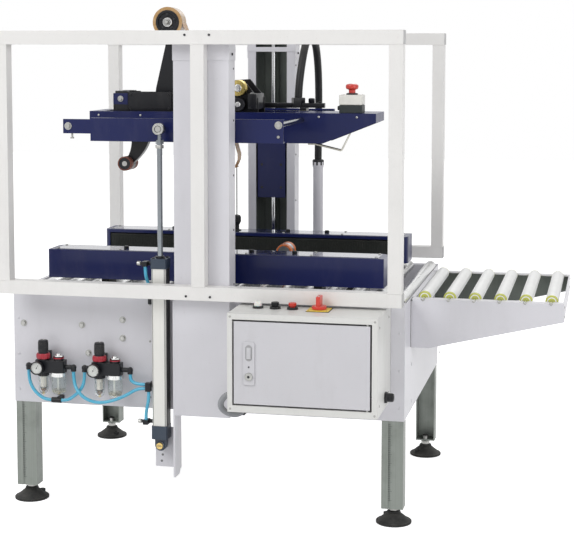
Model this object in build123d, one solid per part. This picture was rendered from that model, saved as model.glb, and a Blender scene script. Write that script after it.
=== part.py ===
from build123d import *
import math
import os

# A carton sealer: a floor-standing machine that drives a box between two side belts
# and tapes its top and bottom seams. All sizes are in millimetres.
# X is the way the carton travels, -Y is the operator's side, Z is up.
# The origin is on the floor, in the middle of the four feet.

# Body: four legs inside a skirt of folded sheet, open underneath.
BODY_HALF_LENGTH = 600
BODY_HALF_WIDTH = 420
SKIRT_BOTTOM = 312
SKIRT_TOP = 655
SHEET = 2.5
PANEL_FLANGE = 32
PANEL_LIP_BOTTOM = 575
PANEL_HEM = 28
END_FLANGE = 12

# Legs: an open channel with a groove down its outer face, on levelling feet.
LEG_WIDTH = 64
LEG_DEPTH = 48
LEG_WALL = 4
LEG_BOTTOM = 50
LEG_TOP = 560
LEG_GROOVE_WIDTH = 6
LEG_GROOVE_DEPTH = 2
LEG_GROOVE_SHIFT = 9
FOOT_X = BODY_HALF_LENGTH - 34.5
FOOT_Y = BODY_HALF_WIDTH - 40
FOOT_RADIUS = 51
FOOT_RIM = 6
FOOT_HEIGHT = 34
FOOT_NECK_RADIUS = 15
FOOT_STUD_RADIUS = 9
FOOT_NUT_ACROSS = 24
FOOT_NUT_HEIGHT = 9
FOOT_NUT_Z = 38
ANCHOR_OFFSET = 24
ANCHOR_BOSS_RADIUS = 10
ANCHOR_BOSS_HEIGHT = 22
ANCHOR_HOLE_RADIUS = 4.5

# Bed rollers and exit rollers.
ROLLER_RADIUS = 19
ROLLER_AXIS_Z = 650
ROLLER_PITCH = 74.5
BED_ROLLER_X = BODY_HALF_LENGTH - 23
INFEED_ROOM = 40
BED_ROLLER_END_GAP = 6
SPLIT_ROLLER_INNER = 72
AXLE_RADIUS = 5
RUNNING_GAP = 0.05

# Exit table.
EXIT_START = BODY_HALF_LENGTH + 4
EXIT_TOP = 652
EXIT_BOTTOM = 506
EXIT_TIP_BOTTOM = 598
EXIT_STRAIGHT = 50
EXIT_INNER_Y = 290
EXIT_PLATE = 4
EXIT_FLANGE = 28
EXIT_ROLLERS = 6
EXIT_FIRST_ROLLER = EXIT_START + 32
EXIT_END_ROOM = 37.5
EXIT_END = EXIT_FIRST_ROLLER + (EXIT_ROLLERS - 1) * ROLLER_PITCH + EXIT_END_ROOM
EXIT_ROLLER_HALF = 255
END_CAP_LENGTH = 9

# Guard frame of square tube, in front of and behind the columns.
TUBE = 40
TUBE_WALL = 2.5
GUARD_HALF_LENGTH = 605
GUARD_INNER_Y = BODY_HALF_WIDTH + 72
GUARD_RAIL_BOTTOM = 663
GUARD_TOP = 1440
GUARD_PAD_HALF = 62

# Lifting columns with guide shafts, one on each side.
COLUMN_X = 14
COLUMN_WIDTH = 166
COLUMN_OUTER_Y = BODY_HALF_WIDTH + 70
COLUMN_WALL = 3
COLUMN_LIP = 28
COLUMN_TOP = 1428
COLUMN_FOOT_PLATE = 8
CAP_BOTTOM = 1354
CAP_TOP = 1438
CAP_WALL = 2
CAP_BAND = (1377, 1393)
SHAFT_RADIUS = 10
SHAFT_Y = BODY_HALF_WIDTH + 36

# Carriages on the shafts and the head that they carry.
CARRIAGE_WIDTH = 98
CARRIAGE_PLATE_Y = BODY_HALF_WIDTH + 1
CARRIAGE_PLATE = 8
CARRIAGE_BOTTOM = 870
CARRIAGE_TOP = 1182
BEARING_SIZE = (64, 44, 60)
BEARING_Z = (905, 1140)
ARM_LEFT = -436
ARM_RIGHT = 240
ARM_TOP = 1182
ARM_BOTTOM = 1113
ARM_TAIL_TOP = 1178
ARM_TAIL_BOTTOM = 1135
ARM_TAIL_END = -350
ARM_OUTER_Y = BODY_HALF_WIDTH - 6
ARM_SHEET = 5
ARM_FLANGE = 18
CROSS_ROD_RADIUS = 8
CROSS_ROD_LEFT = (-420, 1157)
CROSS_ROD_RIGHT = (226, 1166)
HEAD_LEFT = -471
HEAD_RIGHT = 460
HEAD_HALF_WIDTH = 83
HEAD_TOP = 1188
HEAD_BOTTOM = 1093
HEAD_TAPER_X = 292
HEAD_TIP_BOTTOM = 1160
HEAD_NOSE_RADIUS = 34
HEAD_SHEET = 3
HEAD_OPENING = (-432, 196)
HEAD_OPENING_HALF = 60
SKID_WIDTH = 30
SKID_SHEET = 4
HOSE_BAR_Y = (86, 104)
HOSE_BAR_X = (20, 265)
HOSE_BAR_HEIGHT = 14
HOSE_BAR_STAND = 10
HOSE_CLAMP_X = 178
HOSE_CLAMP_RADIUS = 19

# Lifting cylinder, its rod and its bracket.
CYLINDER_X = -122
CYLINDER_Y = -BODY_HALF_WIDTH - 35
BARREL_SIDE = 44
BARREL_BORE = 18
BARREL_BOTTOM = 273
BARREL_TOP = 743
CYLINDER_CAP_SIDE = 48
CYLINDER_CAP_TOP = 773
CYLINDER_CAP_BOTTOM = 233
CLEVIS_Z = 213
CLEVIS_RADIUS = 17
CLEVIS_THICK = 22
CLEVIS_PIN_RADIUS = 6
CLEVIS_PIN_HEAD = 10
ROD_RADIUS = 8
ROD_TOP = 1122
PISTON_Z = 655
PISTON_LENGTH = 28
ROD_EYE_Z = 1154
ROD_EYE_RADIUS = 17
ROD_EYE_THICK = 14
ROD_EYE_BORE = 7
ROD_NUT_ACROSS = 22
BRACKET_SHEET = 6
BRACKET_BOTTOM = 125
BRACKET_TOP = 655
TAB_BOTTOM = 139
TAB_TOP = 260
TAB_LEFT = -148

# Tape head on the moving head, its roll of tape and its wiping arm.
CHEEK_OUTER = 48
CHEEK_SHEET = 4
TAPE_HEAD_LEFT = -402
TAPE_HEAD_RIGHT = 78
TAPE_HEAD_BOTTOM = 1104
TAPE_HEAD_TOP = 1246
ARM_PIVOT = (-377, 1227)
ARM_ROLLER = (-370, 1016)
ARM_ROLLER_RADIUS = 23
ARM_ROLLER_HALF = 37
ARM_THICK = 24
PIVOT_RADIUS = 6
GUIDE_ROLLER = (2, 1264)
KNURL_ROLLER = (2, 1212)
TAPE_ROLL_CENTRE = (-226, 1472)
TAPE_ROLL_RADIUS = 49
TAPE_CORE_RADIUS = 38
TAPE_HALF_WIDTH = 24
SPINDLE_RADIUS = 7
HOLDER_FOOT = (-262, 1200)

# Emergency stop on the head's outfeed end.
ESTOP_X = 379
ESTOP_SIZE = (72, 62, 57)
ESTOP_BUTTON_RADIUS = 20
ESTOP_TRAVEL_GAP = 6

# Side belts: a housing, a belt round two pulleys and a carriage on two cross rods. The rods
# lie below gaps between bed rollers, counted from the outfeed end, so that the posts pass.
BELT_LEFT = -525
BELT_RIGHT = 522
BELT_INNER_Y = 205
BELT_OUTER_Y = 317
BELT_BOTTOM = 682
BELT_TOP = 770
BELT_WALL = 3
BELT_NOSE = 26
WINDOW_END_LEFT = 20
WINDOW_END_RIGHT = 56
BELT_LOW = 694
BELT_HIGH = 756
BELT_THICK = 5
BELT_FACE_Y = 198
PULLEY_RADIUS = 42
SLIDE_ROD_RADIUS = 10
SLIDE_ROD_Z = 598
SLIDE_ROD_GAPS = (13, 4)
SLIDE_ROD_X = [BED_ROLLER_X - ROLLER_PITCH * (gap - 0.5) for gap in SLIDE_ROD_GAPS]
SLIDE_POST = (24, 70)
SLIDE_BLOCK = (44, 60, 40)
LOCK_KNOB_X = -70
LOCK_KNOB_RADIUS = 13
LOCK_KNOB_HEIGHT = 54
WHISKER_TOP = 990
WHISKER_RADIUS = 2

# Lower tape head, below the bed between the belts.
WELL_HALF_LENGTH = 236
WELL_BOTTOM = 560
WELL_TOP = 664
WELL_BAR_X = 224
LOWER_PIVOT = (60, 640)
LOWER_ROLLER = (158, 742)
LOWER_ROLLER_RADIUS = 25
LOWER_ROLLER_HALF = 34

# Electrical cabinet on the operator's side.
CABINET_X = (135, 559)
CABINET_Z = (376, 655)
CABINET_FRONT_Y = -BODY_HALF_WIDTH - 245
CABINET_SHEET = 2
DOOR_X = (154, 538)
DOOR_Z = (400, 633)
DOOR_GAP = 5
DOOR_SHEET = 2
DOOR_RETURN = 8
DOOR_FRAME_DEPTH = 14
HINGE_X = 530
HINGE_Y = CABINET_FRONT_Y + 5
HINGE_PIN_RADIUS = 2.5
LOCK_X = (182, 214)
LOCK_Z = (455, 577)
LOCK_PROUD = 4
BUTTON_Y = CABINET_FRONT_Y + 100
BUTTON_X = (200, 250, 300)
COLLAR_RADIUS = 15
COLLAR_HEIGHT = 6
BUTTON_RADIUS = 11
BUTTON_TOP = 14
BUTTON_TRAVEL_GAP = 4
SWITCH_X = 377
SWITCH_PLATE = 66
SWITCH_PLATE_THICK = 3
SWITCH_SPINDLE_RADIUS = 4
GLAND_Y = CABINET_FRONT_Y + 137
GLAND_Z = 407
GLAND_RADIUS = 13
GLAND_LENGTH = 26

# Air preparation: two filter, regulator and lubricator sets.
AIR_SET_X = (-489, -311)
AIR_SET_STEP = 49
AIR_BODY_Y = -BODY_HALF_WIDTH - 45
AIR_BODY_Z = (418, 455)
GAUGE_RADIUS = 20
GAUGE_Z = 435
GAUGE_SHIFT = -8
GAUGE_FRONT_Y = AIR_BODY_Y - 39
FILTER_BOWL_RADIUS = 15
LUBE_BOWL_RADIUS = 22
BOWL_BOTTOM = 350
HOSE_RADIUS = 5

# Standpipe and the conduit that feeds the head.
PIPE_X = 175
PIPE_Y = BODY_HALF_WIDTH + 26
PIPE_RADIUS = 17.5
PIPE_TOP = 1003
PIPE_BOTTOM = 470
CONDUIT_RADIUS = 12.5

# Air hoses: each route gives X, the distance in front of the skirt, and Z.
ELBOW_REACH = 26
ELBOW_DROP = 12
TEE_CENTRE = (-446, -BODY_HALF_WIDTH - 50, 333)
MANIFOLD_X = (-164, -148)
MANIFOLD_Z = (376, 402)
MANIFOLD_STUB_Z = (384, 396)
FLOW_Z = (282, 756)


def ahead_of_skirt(*route):
    """The points of a route whose second number is its distance in front of the skirt."""
    return [(x, -BODY_HALF_WIDTH - gap, z) for x, gap, z in route]


HOSE_LEFT = ahead_of_skirt(
    (-536, 45, 423), (-536, 45, 395), (-524, 47, 366), (-502, 49, 345), (-480, 50, 334), (-461, 50, 334)
)
HOSE_BRIDGE = ahead_of_skirt(
    (-431, 50, 334), (-412, 50, 334), (-388, 49, 350), (-367, 47, 372), (-358, 45, 398), (-358, 45, 423)
)
HOSE_LOWER = ahead_of_skirt(
    (-393, 45, 423), (-393, 45, 400), (-380, 60, 372), (-350, 70, 347), (-308, 70, 336),
    (-264, 67, 344), (-222, 61, 362), (-188, 54, 384), (-164, 54, 384)
)
HOSE_RIGHT = ahead_of_skirt(
    (-215, 45, 423), (-215, 45, 407), (-204, 47, 398), (-186, 50, 395), (-164, 50, 395)
)
HOSE_DOWN = ahead_of_skirt(
    (-155, 54, 376), (-155, 54, 354), (-160, 52, 330), (-165, 50, 310), (-165, 50, 289)
)
HOSE_TOP = ahead_of_skirt(
    (-165, 46, 749), (-165, 46, 724), (-161, 38, 702), (-157, 28, 682), (-157, 20, 664), (-157, 20, 648)
)

# The conduit from the standpipe over to the head: X, the share of the way back to the pipe, and Z.
CONDUIT_POINTS = [(175, 1, PIPE_TOP), (176, 0.997, 1105), (180, 0.96, 1215), (185, 0.855, 1320),
                  (188, 0.684, 1405), (188, 0.456, 1440), (187, 0.219, 1412), (184, 0.057, 1335),
                  (HOSE_CLAMP_X, 0, 1250), (HOSE_CLAMP_X, 0, HEAD_TOP + 20)]
CONDUIT_HEAD_Y = sum(HOSE_BAR_Y) / 2
CONDUIT_SPAN = PIPE_Y - CONDUIT_HEAD_Y
CONDUIT_ROUTE = [(x, CONDUIT_HEAD_Y + share * CONDUIT_SPAN, z) for x, share, z in CONDUIT_POINTS]

# The grey conduit from the cabinet's side to the skirt.
CABINET_HOSE_ROUTE = ahead_of_skirt(
    (135, 125, 400), (110, 125, 400), (87, 120, 382), (78, 110, 356), (90, 94, 336), (110, 73, 324),
    (122, 44, 322), (122, 12, 322)
)
CABINET_HOSE_RADIUS = 9


def block(x, y, z):
    """A box between the two values of each pair."""
    size = [max(pair) - min(pair) for pair in (x, y, z)]
    middle = [(pair[0] + pair[1]) / 2 for pair in (x, y, z)]
    return Pos(*middle) * Box(*size)


def rod(start, end, radius):
    """A round bar from start to end."""
    axis = Vector(*end) - Vector(*start)
    plane = Plane(origin=start, z_dir=axis)
    return plane * Cylinder(radius, axis.length, align=(Align.CENTER, Align.CENTER, Align.MIN))


def ring(start, end, outer, inner):
    """A round tube from start to end."""
    return rod(start, end, outer) - rod(start, end, inner)


def hex_bar(centre, across, height):
    """A vertical hexagon bar standing on centre, such as a nut."""
    corner = across / math.sqrt(3)
    return Pos(*centre) * extrude(RegularPolygon(corner, 6), height)


def plate_xz(points, low_y, high_y):
    """A flat plate that lies across Y, from its outline in X and Z."""
    outline = Polyline(*[(x, high_y, z) for x, z in points], close=True)
    return extrude(make_face(outline), high_y - low_y, dir=(0, -1, 0))


def folded_sheet(points, thickness, low_x, high_x):
    """Sheet metal folded along X: the line through points in Y and Z, thickened to its left."""
    with BuildPart() as sheet:
        with BuildSketch(Plane.YZ.offset(low_x)):
            with BuildLine():
                Polyline(*points)
                offset(amount=thickness, side=Side.LEFT)
            make_face()
        extrude(amount=high_x - low_x)
    return sheet.part


def mirrored(shape, across):
    """The shape's mirror image."""
    return mirror(shape, about=across)


def save(name, *solids):
    """Write one node's solids as parts/NAME.step."""
    shape = solids[0] if len(solids) == 1 else Compound(children=list(solids))
    export_step(shape, os.path.join("parts", name + ".step"))


def front_panel():
    """The skirt's long side: a sheet folded in at the top, with a lip that carries the rollers."""
    lip = PANEL_FLANGE
    outline = [
        (-BODY_HALF_WIDTH + lip, PANEL_LIP_BOTTOM),
        (-BODY_HALF_WIDTH + lip, SKIRT_TOP),
        (-BODY_HALF_WIDTH, SKIRT_TOP),
        (-BODY_HALF_WIDTH, SKIRT_BOTTOM),
        (-BODY_HALF_WIDTH + PANEL_HEM, SKIRT_BOTTOM),
    ]
    panel = folded_sheet(outline, SHEET, -BODY_HALF_LENGTH, BODY_HALF_LENGTH)
    for side in (-1, 1):
        legs = sorted((side * (BODY_HALF_LENGTH + 1), side * (BODY_HALF_LENGTH - SHEET - LEG_WIDTH)))
        corner = sorted((side * (BODY_HALF_LENGTH + 1), side * (BODY_HALF_LENGTH - SHEET)))
        inside = (-BODY_HALF_WIDTH + SHEET, -BODY_HALF_WIDTH + lip + 1)
        panel -= block(legs, inside, (SKIRT_BOTTOM - 1, SKIRT_BOTTOM + SHEET))
        panel -= block(corner, inside, (SKIRT_BOTTOM, SKIRT_TOP + 1))
    for x in bed_roller_places():
        panel -= rod((x, -BODY_HALF_WIDTH + lip + 1, ROLLER_AXIS_Z),
                     (x, -BODY_HALF_WIDTH + lip - SHEET - 1, ROLLER_AXIS_Z), AXLE_RADIUS + RUNNING_GAP)
    for x in SLIDE_ROD_X:
        panel -= rod((x, -BODY_HALF_WIDTH + lip + 1, SLIDE_ROD_Z),
                     (x, -BODY_HALF_WIDTH + lip - SHEET - 1, SLIDE_ROD_Z), SLIDE_ROD_RADIUS + RUNNING_GAP)
    return panel


def bed_roller_places():
    """The X of every bed roller, from the outfeed end to the infeed end."""
    count = int((BED_ROLLER_X + BODY_HALF_LENGTH - INFEED_ROOM) / ROLLER_PITCH) + 1
    return [BED_ROLLER_X - ROLLER_PITCH * k for k in range(count)]


def end_panel(side):
    """A short side of the skirt, with its top edge folded out over the gap before the next roller."""
    reach = BODY_HALF_WIDTH - SHEET
    face = sorted((side * (BODY_HALF_LENGTH - SHEET), side * BODY_HALF_LENGTH))
    top = SKIRT_TOP - SHEET
    panel = block(face, (-reach, reach), (SKIRT_BOTTOM, top))
    edge = sorted((side * (BODY_HALF_LENGTH - SHEET), side * (BODY_HALF_LENGTH + END_FLANGE)))
    return panel + block(edge, (-EXIT_ROLLER_HALF, EXIT_ROLLER_HALF), (top - SHEET, top))


def leg(side_x, side_y):
    """One leg: a channel that opens inwards, grooved down its face, with a foot plate."""
    outer = BODY_HALF_WIDTH - SHEET
    far = BODY_HALF_LENGTH - SHEET
    x = (far - LEG_WIDTH, far)
    y = (outer - LEG_DEPTH, outer)
    shape = block(x, y, (LEG_BOTTOM, LEG_TOP))
    hollow_x = (x[0] + LEG_WALL, x[1] - LEG_WALL)
    shape -= block(hollow_x, (y[0] - 1, y[1] - LEG_WALL), (LEG_BOTTOM + LEG_WALL, LEG_TOP + 1))
    groove = sum(x) / 2 - side_x * LEG_GROOVE_SHIFT
    shape -= block((groove - LEG_GROOVE_WIDTH / 2, groove + LEG_GROOVE_WIDTH / 2),
                   (y[1] - LEG_GROOVE_DEPTH, y[1] + 1), (LEG_BOTTOM - 1, LEG_TOP + 1))
    shape -= rod((FOOT_X, FOOT_Y, LEG_BOTTOM - 1), (FOOT_X, FOOT_Y, LEG_BOTTOM + LEG_WALL + 1),
                 FOOT_STUD_RADIUS + RUNNING_GAP)
    if side_x < 0:
        shape = mirrored(shape, Plane.YZ)
    if side_y < 0:
        shape = mirrored(shape, Plane.XZ)
    return shape


def levelling_foot(side_x, side_y):
    """A domed pad with an anchor boss, its stud and the nut that locks it."""
    pad = rod((FOOT_X, FOOT_Y, 0), (FOOT_X, FOOT_Y, FOOT_RIM), FOOT_RADIUS)
    dome = Cone(FOOT_RADIUS - 1, FOOT_NECK_RADIUS, FOOT_HEIGHT - FOOT_RIM)
    pad += Pos(FOOT_X, FOOT_Y, (FOOT_HEIGHT + FOOT_RIM) / 2) * dome
    anchor = (FOOT_X - ANCHOR_OFFSET, FOOT_Y - ANCHOR_OFFSET)
    pad += rod((*anchor, 0), (*anchor, ANCHOR_BOSS_HEIGHT), ANCHOR_BOSS_RADIUS)
    pad -= rod((*anchor, -1), (*anchor, FOOT_HEIGHT), ANCHOR_HOLE_RADIUS)
    stud = rod((FOOT_X, FOOT_Y, FOOT_RIM), (FOOT_X, FOOT_Y, LEG_BOTTOM + 3 * FOOT_RIM), FOOT_STUD_RADIUS)
    nut = hex_bar((FOOT_X, FOOT_Y, FOOT_NUT_Z), FOOT_NUT_ACROSS, FOOT_NUT_HEIGHT)
    shape = pad + stud + nut
    if side_x < 0:
        shape = mirrored(shape, Plane.YZ)
    if side_y < 0:
        shape = mirrored(shape, Plane.XZ)
    return shape


def square_tube(start, end):
    """A hollow square tube between two points on one axis, given by the middle of its section."""
    axis = Vector(*end) - Vector(*start)
    plane = Plane(origin=start, x_dir=(0, 1, 0), z_dir=axis)
    low = (Align.CENTER, Align.CENTER, Align.MIN)
    solid = plane * Box(TUBE, TUBE, axis.length, align=low)
    bore = TUBE - 2 * TUBE_WALL
    return solid - plane * Box(bore, bore, axis.length, align=low)


def guard_posts(side):
    """The three uprights of one guard frame, left, middle and right."""
    y = side * (GUARD_INNER_Y + TUBE / 2)
    rail_top = GUARD_RAIL_BOTTOM + TUBE
    end_x = GUARD_HALF_LENGTH - TUBE / 2
    top = GUARD_TOP - TUBE
    middle = square_tube((COLUMN_X, y, rail_top), (COLUMN_X, y, top))
    ends = [square_tube((x, y, GUARD_RAIL_BOTTOM), (x, y, top)) for x in (-end_x, end_x)]
    return [ends[0], middle, ends[1]]


def guard_rails(side):
    """The bed rail between the end posts, with its pad on the column, and the top rail over them."""
    y = side * (GUARD_INNER_Y + TUBE / 2)
    inner = GUARD_HALF_LENGTH - TUBE
    bed = square_tube((-inner, y, GUARD_RAIL_BOTTOM + TUBE / 2), (inner, y, GUARD_RAIL_BOTTOM + TUBE / 2))
    pad = block((COLUMN_X - GUARD_PAD_HALF, COLUMN_X + GUARD_PAD_HALF),
                sorted((side * COLUMN_OUTER_Y, side * GUARD_INNER_Y)),
                (GUARD_RAIL_BOTTOM, GUARD_RAIL_BOTTOM + TUBE))
    top_z = GUARD_TOP - TUBE / 2
    top = square_tube((-GUARD_HALF_LENGTH, y, top_z), (GUARD_HALF_LENGTH, y, top_z))
    return [bed + pad, top]


def column():
    """The front column: a lipped channel that opens towards the bed, with a foot plate."""
    x = (COLUMN_X - COLUMN_WIDTH / 2, COLUMN_X + COLUMN_WIDTH / 2)
    y = (-COLUMN_OUTER_Y, -BODY_HALF_WIDTH)
    z = (SKIRT_BOTTOM, COLUMN_TOP)
    shape = block(x, y, z)
    wall = COLUMN_WALL
    hollow_z = (z[0] + COLUMN_FOOT_PLATE, z[1] + 1)
    shape -= block((x[0] + wall, x[1] - wall), (y[0] + wall, y[1] - wall), hollow_z)
    slot = (x[0] + COLUMN_LIP, x[1] - COLUMN_LIP)
    shape -= block(slot, (y[1] - 2 * wall, y[1] + 1), hollow_z)
    return shape


def column_cap():
    """The cap over the front column: a sleeve round three sides, a band across the slot and a lid."""
    x = (COLUMN_X - COLUMN_WIDTH / 2, COLUMN_X + COLUMN_WIDTH / 2)
    y = (-COLUMN_OUTER_Y, -BODY_HALF_WIDTH)
    outside = (x[0] - CAP_WALL, x[1] + CAP_WALL)
    sleeve = block(outside, (y[0] - CAP_WALL, y[1]), (CAP_BOTTOM, CAP_TOP))
    sleeve -= block(x, (y[0], y[1] + 1), (CAP_BOTTOM - 1, COLUMN_TOP))
    return sleeve + block(outside, (y[1], y[1] + CAP_WALL), CAP_BAND)


def guide_shaft():
    """The ground shaft that the front carriage runs on, from the foot plate to the cap."""
    return rod((COLUMN_X, -SHAFT_Y, SKIRT_BOTTOM + COLUMN_FOOT_PLATE), (COLUMN_X, -SHAFT_Y, COLUMN_TOP),
               SHAFT_RADIUS)


def roller(x, low_y, high_y, caps):
    """A hollow roller that turns on its axle, with end caps a little narrower than its tube."""
    z = ROLLER_AXIS_Z
    shape = rod((x, low_y + caps, z), (x, high_y - caps, z), ROLLER_RADIUS)
    if caps:
        shape += rod((x, low_y, z), (x, high_y, z), ROLLER_RADIUS - 2)
    return shape - rod((x, low_y - 1, z), (x, high_y + 1, z), AXLE_RADIUS + RUNNING_GAP)


def fixed_bed_roller(x, low_y, high_y, axle_low, axle_high):
    """A bed roller in one piece with the ends of its spindle."""
    z = ROLLER_AXIS_Z
    barrel = rod((x, low_y, z), (x, high_y, z), ROLLER_RADIUS)
    return barrel + rod((x, axle_low, z), (x, axle_high, z), AXLE_RADIUS)


def bed_rollers():
    """All bed rollers but the last: whole ones at the ends and split ones beside the tape head."""
    lip = BODY_HALF_WIDTH - PANEL_FLANGE
    reach = lip - BED_ROLLER_END_GAP
    places = bed_roller_places()[1:]
    rollers = []
    for x in places:
        if abs(x) < WELL_HALF_LENGTH + ROLLER_RADIUS:
            inner = SPLIT_ROLLER_INNER
            rollers.append(fixed_bed_roller(x, -reach, -inner, -lip - SHEET, -inner))
            rollers.append(fixed_bed_roller(x, inner, reach, inner, lip + SHEET))
        else:
            rollers.append(fixed_bed_roller(x, -reach, reach, -lip - SHEET, lip + SHEET))
    return rollers


def exit_side_plate():
    """The exit table's front side plate, tapered below, with flanges at its top and its foot."""
    y = -EXIT_INNER_Y
    outline = [
        (EXIT_START, EXIT_TOP), (EXIT_END, EXIT_TOP), (EXIT_END, EXIT_TIP_BOTTOM),
        (EXIT_START + EXIT_STRAIGHT, EXIT_BOTTOM), (EXIT_START, EXIT_BOTTOM),
    ]
    plate = plate_xz(outline, y - EXIT_PLATE, y)
    turned_in = y + EXIT_FLANGE
    flange = block((EXIT_START, EXIT_END - EXIT_PLATE), (y, turned_in), (EXIT_TOP - EXIT_PLATE, EXIT_TOP))
    foot = block((BODY_HALF_LENGTH, EXIT_START), (y - EXIT_PLATE, turned_in), (EXIT_BOTTOM, EXIT_TOP - 8))
    seat = AXLE_RADIUS + RUNNING_GAP
    shape = plate + flange + foot
    for x in exit_roller_places():
        across = (y - EXIT_PLATE - 1, y + EXIT_FLANGE + 1)
        shape -= rod((x, across[0], ROLLER_AXIS_Z), (x, across[1], ROLLER_AXIS_Z), seat)
        shape -= block((x - seat, x + seat), across, (ROLLER_AXIS_Z, EXIT_TOP + 1))
    return shape


def exit_roller_places():
    """The X of each exit roller."""
    return [EXIT_FIRST_ROLLER + ROLLER_PITCH * k for k in range(EXIT_ROLLERS)]


def exit_end_plate():
    """The exit table's end, between its side plates, with a flange at the top."""
    reach = EXIT_INNER_Y
    plate = block((EXIT_END - EXIT_PLATE, EXIT_END), (-reach, reach), (EXIT_TIP_BOTTOM, EXIT_TOP))
    return plate


def roller_axles():
    """The fixed spindles of the exit rollers and of the last bed roller."""
    reach = EXIT_INNER_Y + EXIT_PLATE
    z = ROLLER_AXIS_Z
    axles = [rod((x, -reach, z), (x, reach, z), AXLE_RADIUS) for x in exit_roller_places()]
    lip = BODY_HALF_WIDTH - PANEL_FLANGE + SHEET
    return [rod((BED_ROLLER_X, -lip, z), (BED_ROLLER_X, lip, z), AXLE_RADIUS)] + axles


def carriage():
    """The front carriage: a plate in the column's slot with two bearing blocks on the shaft."""
    half = CARRIAGE_WIDTH / 2
    across = (COLUMN_X - half, COLUMN_X + half)
    plate_y = (-CARRIAGE_PLATE_Y - CARRIAGE_PLATE, -CARRIAGE_PLATE_Y)
    shape = block(across, plate_y, (CARRIAGE_BOTTOM, CARRIAGE_TOP))
    shape += block(across, (-CARRIAGE_PLATE_Y, -ARM_OUTER_Y), (ARM_BOTTOM, ARM_TOP))
    width, depth, height = BEARING_SIZE
    for z in BEARING_Z:
        block_y = (plate_y[0] - depth, plate_y[0])
        block_z = (z - height / 2, z + height / 2)
        shape += block((COLUMN_X - width / 2, COLUMN_X + width / 2), block_y, block_z)
    shape -= rod((COLUMN_X, -SHAFT_Y, CARRIAGE_BOTTOM - 1), (COLUMN_X, -SHAFT_Y, CARRIAGE_TOP + 1),
                 SHAFT_RADIUS + RUNNING_GAP)
    return shape


def head_arm():
    """The front arm: a deep plate with a narrower tail, folded in along its top."""
    outline = [
        (ARM_LEFT, ARM_TAIL_TOP), (ARM_TAIL_END, ARM_TAIL_TOP), (ARM_TAIL_END, ARM_TOP),
        (ARM_RIGHT, ARM_TOP), (ARM_RIGHT, ARM_BOTTOM), (ARM_TAIL_END, ARM_BOTTOM),
        (ARM_TAIL_END, ARM_TAIL_BOTTOM), (ARM_LEFT, ARM_TAIL_BOTTOM),
    ]
    shape = plate_xz(outline, -ARM_OUTER_Y, -ARM_OUTER_Y + ARM_SHEET)
    flange_y = (-ARM_OUTER_Y, -ARM_OUTER_Y + ARM_FLANGE)
    for low in (ARM_TOP - ARM_SHEET, ARM_BOTTOM):
        shape += block((ARM_TAIL_END, ARM_RIGHT), flange_y, (low, low + ARM_SHEET))
    for x, z in (CROSS_ROD_LEFT, CROSS_ROD_RIGHT):
        shape -= rod((x, -ARM_OUTER_Y - 1, z), (x, -ARM_OUTER_Y + ARM_SHEET + 1, z),
                     CROSS_ROD_RADIUS + RUNNING_GAP)
    return shape


def cross_rods():
    """The bright rods that join both arms and pass through the head."""
    reach = ARM_OUTER_Y
    places = (CROSS_ROD_LEFT, CROSS_ROD_RIGHT)
    return [rod((x, -reach, z), (x, reach, z), CROSS_ROD_RADIUS) for x, z in places]


def head_beam():
    """The head's body: a long box of folded sheet, open below, with a tapered outfeed end."""
    outline = [
        (HEAD_LEFT, HEAD_TOP), (HEAD_RIGHT, HEAD_TOP), (HEAD_RIGHT, HEAD_TIP_BOTTOM),
        (HEAD_TAPER_X, HEAD_BOTTOM), (HEAD_LEFT, HEAD_BOTTOM),
    ]
    solid = plate_xz(outline, -HEAD_HALF_WIDTH, HEAD_HALF_WIDTH)
    nose = solid.edges().filter_by(Axis.Y).sort_by(Axis.Z)[:2].sort_by(Axis.X)[0]
    solid = fillet(nose, min(HEAD_NOSE_RADIUS, 0.4 * (HEAD_TOP - HEAD_BOTTOM)))
    wall = HEAD_SHEET
    inside = [
        (HEAD_LEFT + wall, HEAD_TOP - wall), (HEAD_RIGHT - wall, HEAD_TOP - wall),
        (HEAD_RIGHT - wall, HEAD_BOTTOM - 1), (HEAD_LEFT + wall, HEAD_BOTTOM - 1),
    ]
    solid -= plate_xz(inside, -HEAD_HALF_WIDTH + wall, HEAD_HALF_WIDTH - wall)
    half = HEAD_OPENING_HALF
    solid -= block(HEAD_OPENING, (-half, half), (HEAD_TOP - 2 * wall, HEAD_TOP + 1))
    for x, z in (CROSS_ROD_LEFT, CROSS_ROD_RIGHT):
        reach = HEAD_HALF_WIDTH + 1
        solid -= rod((x, -reach, z), (x, reach, z), CROSS_ROD_RADIUS + RUNNING_GAP)
    return solid


def skid():
    """The bent strip under the outfeed end that holds the carton's flap down."""
    points = [(HEAD_TAPER_X - 46, HEAD_BOTTOM), (HEAD_TAPER_X - 24, HEAD_BOTTOM),
              (HEAD_TAPER_X + 58, HEAD_BOTTOM - 19), (HEAD_TAPER_X + 84, HEAD_BOTTOM + 32)]
    low = [(x, z - SKID_SHEET) for x, z in points]
    return plate_xz(points + low[::-1], -HEAD_HALF_WIDTH, -HEAD_HALF_WIDTH + SKID_WIDTH)


def hose_bar():
    """The black bar on top of the head with the ring that holds the conduit."""
    y = HOSE_BAR_Y
    low = HEAD_TOP + HOSE_BAR_STAND
    high = low + HOSE_BAR_HEIGHT
    middle = (y[0] + y[1]) / 2
    bar = block(HOSE_BAR_X, y, (low, high))
    for x in (HOSE_BAR_X[0] + 20, 200):
        bar += block((x - 10, x + 10), (HEAD_HALF_WIDTH - 20, y[1]), (HEAD_TOP, low))
    socket = (HOSE_CLAMP_X, middle)
    bar += rod((*socket, low), (*socket, high + 16), HOSE_CLAMP_RADIUS)
    return bar - rod((*socket, high - 4), (*socket, high + 20), CONDUIT_RADIUS)


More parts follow.
